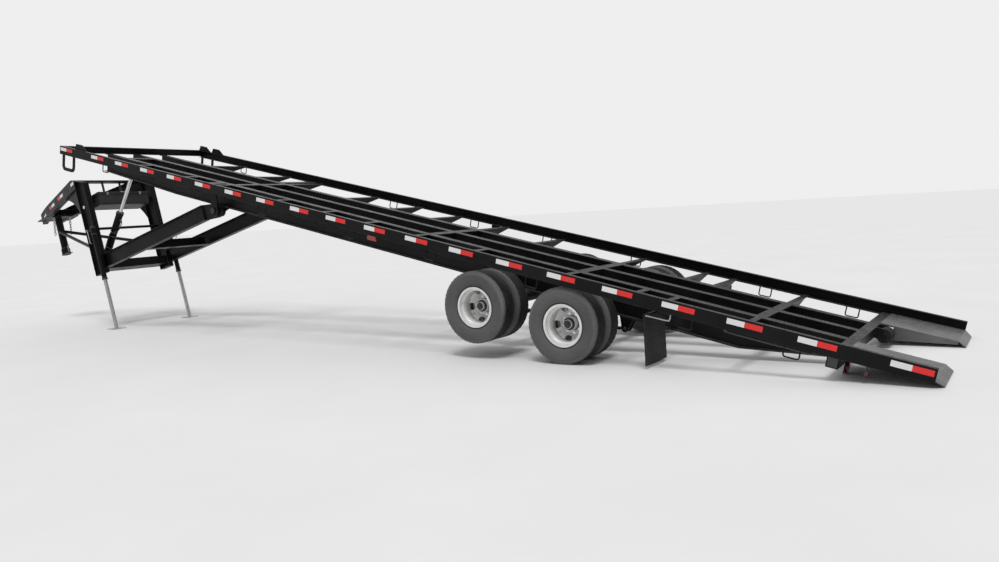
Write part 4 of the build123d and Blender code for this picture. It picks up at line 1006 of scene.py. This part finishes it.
def hinges():
    """Keeper plates, their screws and grease nipples on the hinge pins."""
    mesh = bmesh.new()
    for side in (-1, 1):
        for y, out in zip(HINGE_PIN_Y, (-1, 1)):
            face = Vector((HINGE_BED.x, side * y, HINGE_BED.z))
            direction = Vector((0, side * out, 0))
            add_stack(mesh, BED @ along(face, direction), KEEPER_STACK)
            for turn in KEEPER_TURNS:
                angle = math.radians(turn)
                offset = Vector((math.cos(angle), 0, math.sin(angle))) * KEEPER_CIRCLE
                spot = face + offset + direction * KEEPER_THICKNESS
                add_bolt(mesh, BED, spot, direction, *KEEPER_SCREW)
    piece("hinge_keepers", mesh, BOLT, "bed")


def flap_point(face, row, column, side):
    """A point on the front (0) or rear (1) face of a curling, ribbed flap."""
    u, v = column / FLAP_COLUMNS, row / FLAP_ROWS
    arch = FLAP_CURL_EVEN + FLAP_CURL_ARCH * math.cos(math.pi * (u - 0.5) * FLAP_ARCH_TURN)
    rib = FLAP_RIB if row in FLAP_RIB_ROWS else 0.0
    x = (FLAP_THICKNESS / 2 - rib if face else rib - FLAP_THICKNESS / 2) + FLAP_CURL * v * v * arch
    return Vector((x, side * (FLAP_Y + FLAP_WIDTH * u), -FLAP_ROD_RADIUS - FLAP_HEIGHT * v))


def flaps():
    """Thick rubber flaps that curl a little, with moulded ribs."""
    columns, rows = FLAP_COLUMNS, FLAP_ROWS
    for side, name in ((-1, "left"), (1, "right")):
        mesh = bmesh.new()
        grid = {
            (face, row, column): mesh.verts.new(FLAP_TURN @ flap_point(face, row, column, side))
            for face in (0, 1)
            for row in range(rows + 1)
            for column in range(columns + 1)
        }
        for row in range(rows):
            for column in range(columns):
                for face in (0, 1):
                    corners = ((0, 0), (0, 1), (1, 1), (1, 0))
                    mesh.faces.new([grid[face, row + a, column + b] for a, b in corners])
        rim = [(0, column) for column in range(columns + 1)]
        rim += [(row, columns) for row in range(1, rows + 1)]
        rim += [(rows, column) for column in range(columns - 1, -1, -1)]
        rim += [(row, 0) for row in range(rows - 1, 0, -1)]
        for here, after in zip(rim, rim[1:] + rim[:1]):
            mesh.faces.new([grid[0, *here], grid[0, *after], grid[1, *after], grid[1, *here]])
        sheet = piece(f"mud_flap_{name}", outward(mesh), FLAP, "bed")
        if side < 0:
            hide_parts("mud_flaps")


def neck_welds():
    """Beads where the beams and nose beams of the neck meet its posts."""
    mesh = bmesh.new()
    front, rear = POST_X
    for side in (-1, 1):
        y = side * POST_Y
        for edge in (-1, 1):
            outer = y + edge * POST_HALF
            inner = outer - edge * NOSE_WELD_INSET
            add_weld(mesh, NECK, *((rear, outer, z) for z in BEAM_HEIGHTS))
            add_weld(mesh, NECK, *((front, inner, z) for z in NOSE_WELD_HEIGHTS))
        for z in BEAM_HEIGHTS:
            add_weld(mesh, NECK, (rear, y - POST_HALF, z), (rear, y + POST_HALF, z))
    piece("neck_welds", outward(mesh), WELD, "gooseneck")


def rail_welds():
    """Beads that hold the strap loops under both rails."""
    mesh = bmesh.new()
    for side in (-1, 1):
        for share in LOOP_SHARES:
            for half in (-LOOP_HALF, LOOP_HALF):
                spot = (share * BED_LENGTH + half, side * (HALF_WIDTH - LOOP_INSET), -RAIL_HEIGHT)
                ring = arc(spot, LOOP_WELD_CIRCLE, 0, 360, "xy", 12)
                add_tube(mesh, BED, ring, LOOP_WELD_RADIUS, 6)
    piece("rail_welds", outward(mesh), WELD, "bed")


def jack_fittings():
    """Collars, caps, nipples, bracket bolts and folding cranks of both jacks."""
    dark, bright = bmesh.new(), bmesh.new()
    for side in (-1, 1):
        foot = mirror(JACK, side)
        out = Vector((0, side, 0))
        add_stack(dark, NECK @ along(foot, UP), JACK_STACK)
        add_prism(bright, NECK @ along(foot + JACK_NIPPLE_PLACE, (-1, 0, 0)), *JACK_NIPPLE)
        axis = foot + UP * CRANK_Z
        hub = axis + out * CRANK_REACH
        add_prism(dark, NECK @ along(axis + out * JACK_RADIUS, out), *CRANK_BOSS)
        add_prism(bright, NECK @ along(hub - out * CRANK_HUB_HALF, out), *CRANK_HUB)
        arm = [hub] + [hub + point for point in CRANK_ARM]
        centre = arm[-1] - out * CRANK_BEND
        start, end = (0, -90) if side > 0 else (180, 270)
        arm += arc(centre, CRANK_BEND, start, end, "yz", 6)
        add_tube(bright, NECK, arm, CRANK_RADIUS, 12)
        x, y = BRACKET_BOLT_PLACE
        for z in BRACKET_BOLT_HEIGHTS:
            add_bolt(dark, NECK, (x, side * y, z), out, *BRACKET_BOLT)
    piece("jack_collars", dark, BOLT, "gooseneck")
    piece("jack_cranks", outward(bright), ZINC, "gooseneck")


def coupler_fittings():
    """Set bolts, collars, welds, latch plate, spring pin and handle on the coupler."""
    dark, bright = bmesh.new(), bmesh.new()
    add_stack(dark, NECK @ along(COUPLER, UP), COUPLER_STACK)
    x, y, z = COUPLER_WELD
    for side in (-1, 1):
        for height in SET_BOLT_HEIGHTS:
            spot = COUPLER + Vector((0, side * SET_BOLT_Y, height))
            add_bolt(bright, NECK, spot, (0, side, 0), *SET_BOLT)
        add_weld(dark, NECK, *(COUPLER + Vector((end * x, side * y, z)) for end in (-1, 1)))
    add_box(dark, at(NECK, *LATCH_PLACE), LATCH_PLATE, 0.003)
    handle = [LATCH_PIN + Vector(point) for point in LATCH_HANDLE]
    add_tube(bright, NECK, [LATCH_PIN, handle[0]], LATCH_PIN_RADIUS, 12)
    add_tube(bright, NECK, curved(handle, 5), LATCH_HANDLE_RADIUS, 12)
    coil = []
    for step in range(COIL_STEPS + 1):
        share = step / COIL_STEPS
        turn = math.tau * COIL_TURNS * share
        x, y = COIL_RADIUS * math.cos(turn), COIL_RADIUS * math.sin(turn)
        coil.append(LATCH_PIN + Vector((x, y, COIL_START + COIL_LENGTH * share)))
    add_tube(bright, NECK, coil, COIL_WIRE, 6)
    piece("coupler_collar", dark, BOLT, "gooseneck")
    piece("coupler_latch", outward(bright), ZINC, "gooseneck")


def box_fittings():
    """Straps, lid hinges, latches and grip of the pump box."""
    dark, bright = bmesh.new(), bmesh.new()
    middle = (BOX_TOP + TOP_BEAM_LOW) / 2
    for y in STRAP_PLACES:
        add_box(dark, at(NECK, TOP_BEAM_X, y, middle), STRAP, 0.001)
        foot = at(NECK, TOP_BEAM_X + STRAP_FOOT_X, y, BOX_TOP + STRAP_FOOT[2] / 2)
        add_box(dark, foot, STRAP_FOOT, 0.001)
        spot = (TOP_BEAM_X + STRAP_BOLT_X, y, BOX_TOP + STRAP_FOOT[2])
        add_bolt(bright, NECK, spot, UP, *STRAP_BOLT)
    for y in LID_PLACES:
        x, start, z = LID_HINGE_PLACE
        add_prism(bright, NECK @ along((x, y + start, z), (0, 1, 0)), *LID_HINGE)
        x, z = LID_LATCH_PLACE
        add_box(bright, at(NECK, x, y, z), LID_LATCH, 0.001)
        x, z = LID_BOLT_PLACE
        add_bolt(bright, NECK, (x, y, z), (1, 0, 0), *LID_BOLT)
    grip = [(BOX_REAR + reach, y, BOX_TOP - GRIP_DROP) for reach, y in GRIP]
    add_tube(bright, NECK, curved(grip, 6), GRIP_RADIUS, 10)
    piece("box_straps", dark, BOLT, "gooseneck")
    piece("box_latches", outward(bright), ZINC, "gooseneck")


def cylinder_fittings():
    """Ports, fixed steel line, bands and gland screws of the tilt cylinder."""
    axis = bar_frame(NECK @ BASE_PIN, BED @ ROD_PIN_BED)
    dark, bright = bmesh.new(), bmesh.new()
    for out, z in ((Vector((0, -1, 0)), PORT_LOW), (Vector((1, 0, 0)), PORT_HIGH)):
        add_prism(dark, axis @ along(out * PORT_BOSS_REACH + UP * z, out), *PORT_BOSS)
        add_prism(bright, axis @ along(out * PORT_NUT_REACH + UP * z, out), *PORT_NUT)
    add_tube(dark, axis, curved(LINE, 7), LINE_RADIUS, 12)
    for z in BAND_PLACES:
        add_tube(bright, axis, arc((0, 0, z), BAND_REACH, 0, 360, "xy", 36), BAND_RADIUS, 6)
    for index in range(GLAND_SCREWS):
        turn = Matrix.Rotation(math.tau * index / GLAND_SCREWS, 4, "Z")
        add_prism(bright, at(axis @ turn, *GLAND_PLACE), *GLAND_SCREW)
    piece("cylinder_line", outward(dark), BOLT, "tilt_cylinder")
    piece("cylinder_bands", outward(bright), ZINC, "tilt_cylinder")


def lamp_fittings():
    """Rings and screws of the lamps, and the post lamps."""
    dark, ring, clear = bmesh.new(), bmesh.new(), bmesh.new()
    for side in (-1, 1):
        out = (0, side, 0)
        lamp = mirror(TAIL_LAMP, side)
        for x, radius, thickness in TAIL_LAMP_RINGS:
            hoop = arc(lamp + Vector((x, 0, 0)), radius, 0, 360, "yz", 40)
            add_tube(dark, BED, hoop, thickness, 8)
        for end in (-1, 1):
            spot = mirror(MARKER, side) + Vector((end * MARKER_SCREW_X, 0, 0))
            add_prism(dark, BED @ along(spot, out), *MARKER_SCREW)
        place = NECK @ along(mirror(POST_LAMP, side), out)
        add_prism(ring, place, *POST_LAMP_RING)
        add_prism(clear, place, *POST_LAMP_LENS)
    piece("lamp_grommets", outward(dark), FLAP, "bed")
    piece("post_lamp_rings", ring, FLAP, "gooseneck")
    piece("post_lamps", clear, CLEAR_LENS, "gooseneck")


def rear_fittings():
    """Crossbar end caps, lamp tags, and the near side's hook rod and flap stay."""
    dark, bright, red = bmesh.new(), bmesh.new(), bmesh.new()
    for side in (-1, 1):
        add_box(dark, at(BED, *mirror(CROSSBAR_CAP, side)), CROSSBAR_CAP_SIZE, 0.001)
        y = side * (HALF_WIDTH - TAG_INSET)
        tag = at(BED, TAG_X, y, -RAIL_HEIGHT - TAG_SIZE[2] / 2)
        add_box(dark, tag, TAG_SIZE, 0.003)
        add_box(dark, at(tag, *TAG_FOOT_PLACE), TAG_FOOT, 0.002)
        add_prism(red, BED @ along((TAG_LAMP_X, y, TAG_LAMP_Z), (1, 0, 0)), *TAG_LAMP)
    rod = [(x, HOOK_ROD_Y, z) for x, z in HOOK_ROD]
    add_tube(dark, BED, curved(rod, 8), HOOK_ROD_RADIUS, 12)
    stay = [(x, STAY_Y, z) for x, z in STAY]
    add_tube(bright, BED, curved(stay, 6), STAY_RADIUS, 12)
    piece("rear_tags", outward(dark), BOLT, "bed")
    piece("tag_lamps", red, RED_LENS, "bed")
    piece("flap_stays", outward(bright), ZINC, "bed")


def rail_strips(mesh, colour):
    """Strips of one colour along both side rails."""
    shift = STRIP_RED_SHARE if colour == "red" else 0.0
    for side in (-1, 1):
        for place in STRIP_PLACES:
            x = STRIP_START + STRIP_PITCH * (place + shift)
            spot = at(BED, x, side * (HALF_WIDTH + STRIP_PROUD / 2), -STRIP_DROP)
            add_box(mesh, spot, STRIP_SIZE)


def nose_strips(mesh, colour):
    """Strips of one colour on the outer face of both nose beams."""
    for side in (-1, 1):
        root = mirror(NOSE_ROOT, side)
        forward = mirror(NOSE_TIP - NOSE_ROOT, side).normalized()
        outer = forward.cross(UP) * side
        turn = Matrix((forward, outer, forward.cross(outer))).transposed().to_4x4()
        for shade, place, height, fall in NOSE_STRIPS:
            if shade == colour:
                spot = root + forward * place + outer * (NOSE_HALF + STRIP_PROUD / 2)
                lean = Matrix.Rotation(math.radians(fall) * side, 4, "Y")
                add_box(mesh, at(NECK, *(spot + UP * height)) @ turn @ lean, STRIP_SIZE)


def strips():
    """All white and red reflective strips."""
    for make, name, body in ((rail_strips, "rail", "bed"), (nose_strips, "nose", "gooseneck")):
        for colour, material in (("white", WHITE_STRIP), ("red", RED_STRIP)):
            mesh = bmesh.new()
            make(mesh, colour)
            piece(f"{name}_strips_{colour}", mesh, material, body)


def camera():
    """The photograph's camera."""
    yaw, pitch, roll = CAMERA_YAW, CAMERA_PITCH, CAMERA_ROLL
    reach = math.cos(pitch)
    forward = Vector((math.sin(yaw) * reach, math.cos(yaw) * reach, math.sin(pitch)))
    right = Vector((math.cos(yaw), -math.sin(yaw), 0))
    up = right.cross(forward)
    right, up = (
        right * math.cos(roll) + up * math.sin(roll),
        up * math.cos(roll) - right * math.sin(roll),
    )
    turn = Matrix((right, up, -forward)).transposed().to_4x4()
    data = bpy.data.cameras.new("camera")
    data.sensor_width = SENSOR_WIDTH
    data.lens = FOCAL_PIXELS * SENSOR_WIDTH / IMAGE_WIDTH
    data.clip_end = CAMERA_REACH
    made = bpy.data.objects.new("camera", data)
    made.matrix_world = BED @ Matrix.Translation(CAMERA_PLACE) @ turn
    bpy.context.scene.collection.objects.link(made)
    bpy.context.scene.camera = made


def sun(name, direction, strength, spread):
    """A soft light from far away."""
    data = bpy.data.lights.new(name, "SUN")
    data.energy = strength
    data.angle = math.radians(spread)
    made = bpy.data.objects.new(name, data)
    made.matrix_world = along((0, 0, 8), direction)
    bpy.context.scene.collection.objects.link(made)


def stage():
    """Pale floor, even world light and soft suns."""
    mesh = bmesh.new()
    bmesh.ops.create_circle(mesh, cap_ends=True, segments=FLOOR_STEPS, radius=FLOOR_RADIUS)
    data = bpy.data.meshes.new("floor")
    mesh.to_mesh(data)
    mesh.free()
    floor = bpy.data.objects.new("floor", data)
    bpy.context.scene.collection.objects.link(floor)
    n = Nodes("floor")
    n.colour(n.pattern(FLOOR_TONE))
    n.set(Roughness=0.9, Specular_IOR_Level=0.1)
    data.materials.append(n.material)

    world = bpy.data.worlds.new("world")
    bpy.context.scene.world = world
    world.use_nodes = True
    tree = world.node_tree
    background = tree.nodes["Background"]
    background.inputs["Color"].default_value = (1.0, 1.0, 1.0, 1.0)
    path = tree.nodes.new("ShaderNodeLightPath")
    mix = tree.nodes.new("ShaderNodeMix")
    mix.data_type = "FLOAT"
    mix.inputs["A"].default_value = WORLD_LIGHT
    mix.inputs["B"].default_value = WORLD_SEEN
    tree.links.new(path.outputs["Is Camera Ray"], mix.inputs["Factor"])
    tree.links.new(mix.outputs["Result"], background.inputs["Strength"])

    for light in SUNS:
        sun(*light)


dress_nodes()
tyres()
rim_wells()
wheel_nuts()
hubs()
suspension()
hinges()
neck_welds()
rail_welds()
jack_fittings()
coupler_fittings()
box_fittings()
cylinder_fittings()
lamp_fittings()
rear_fittings()
flaps()
strips()
camera()
stage()
bpy.context.scene.view_settings.view_transform = "Standard"
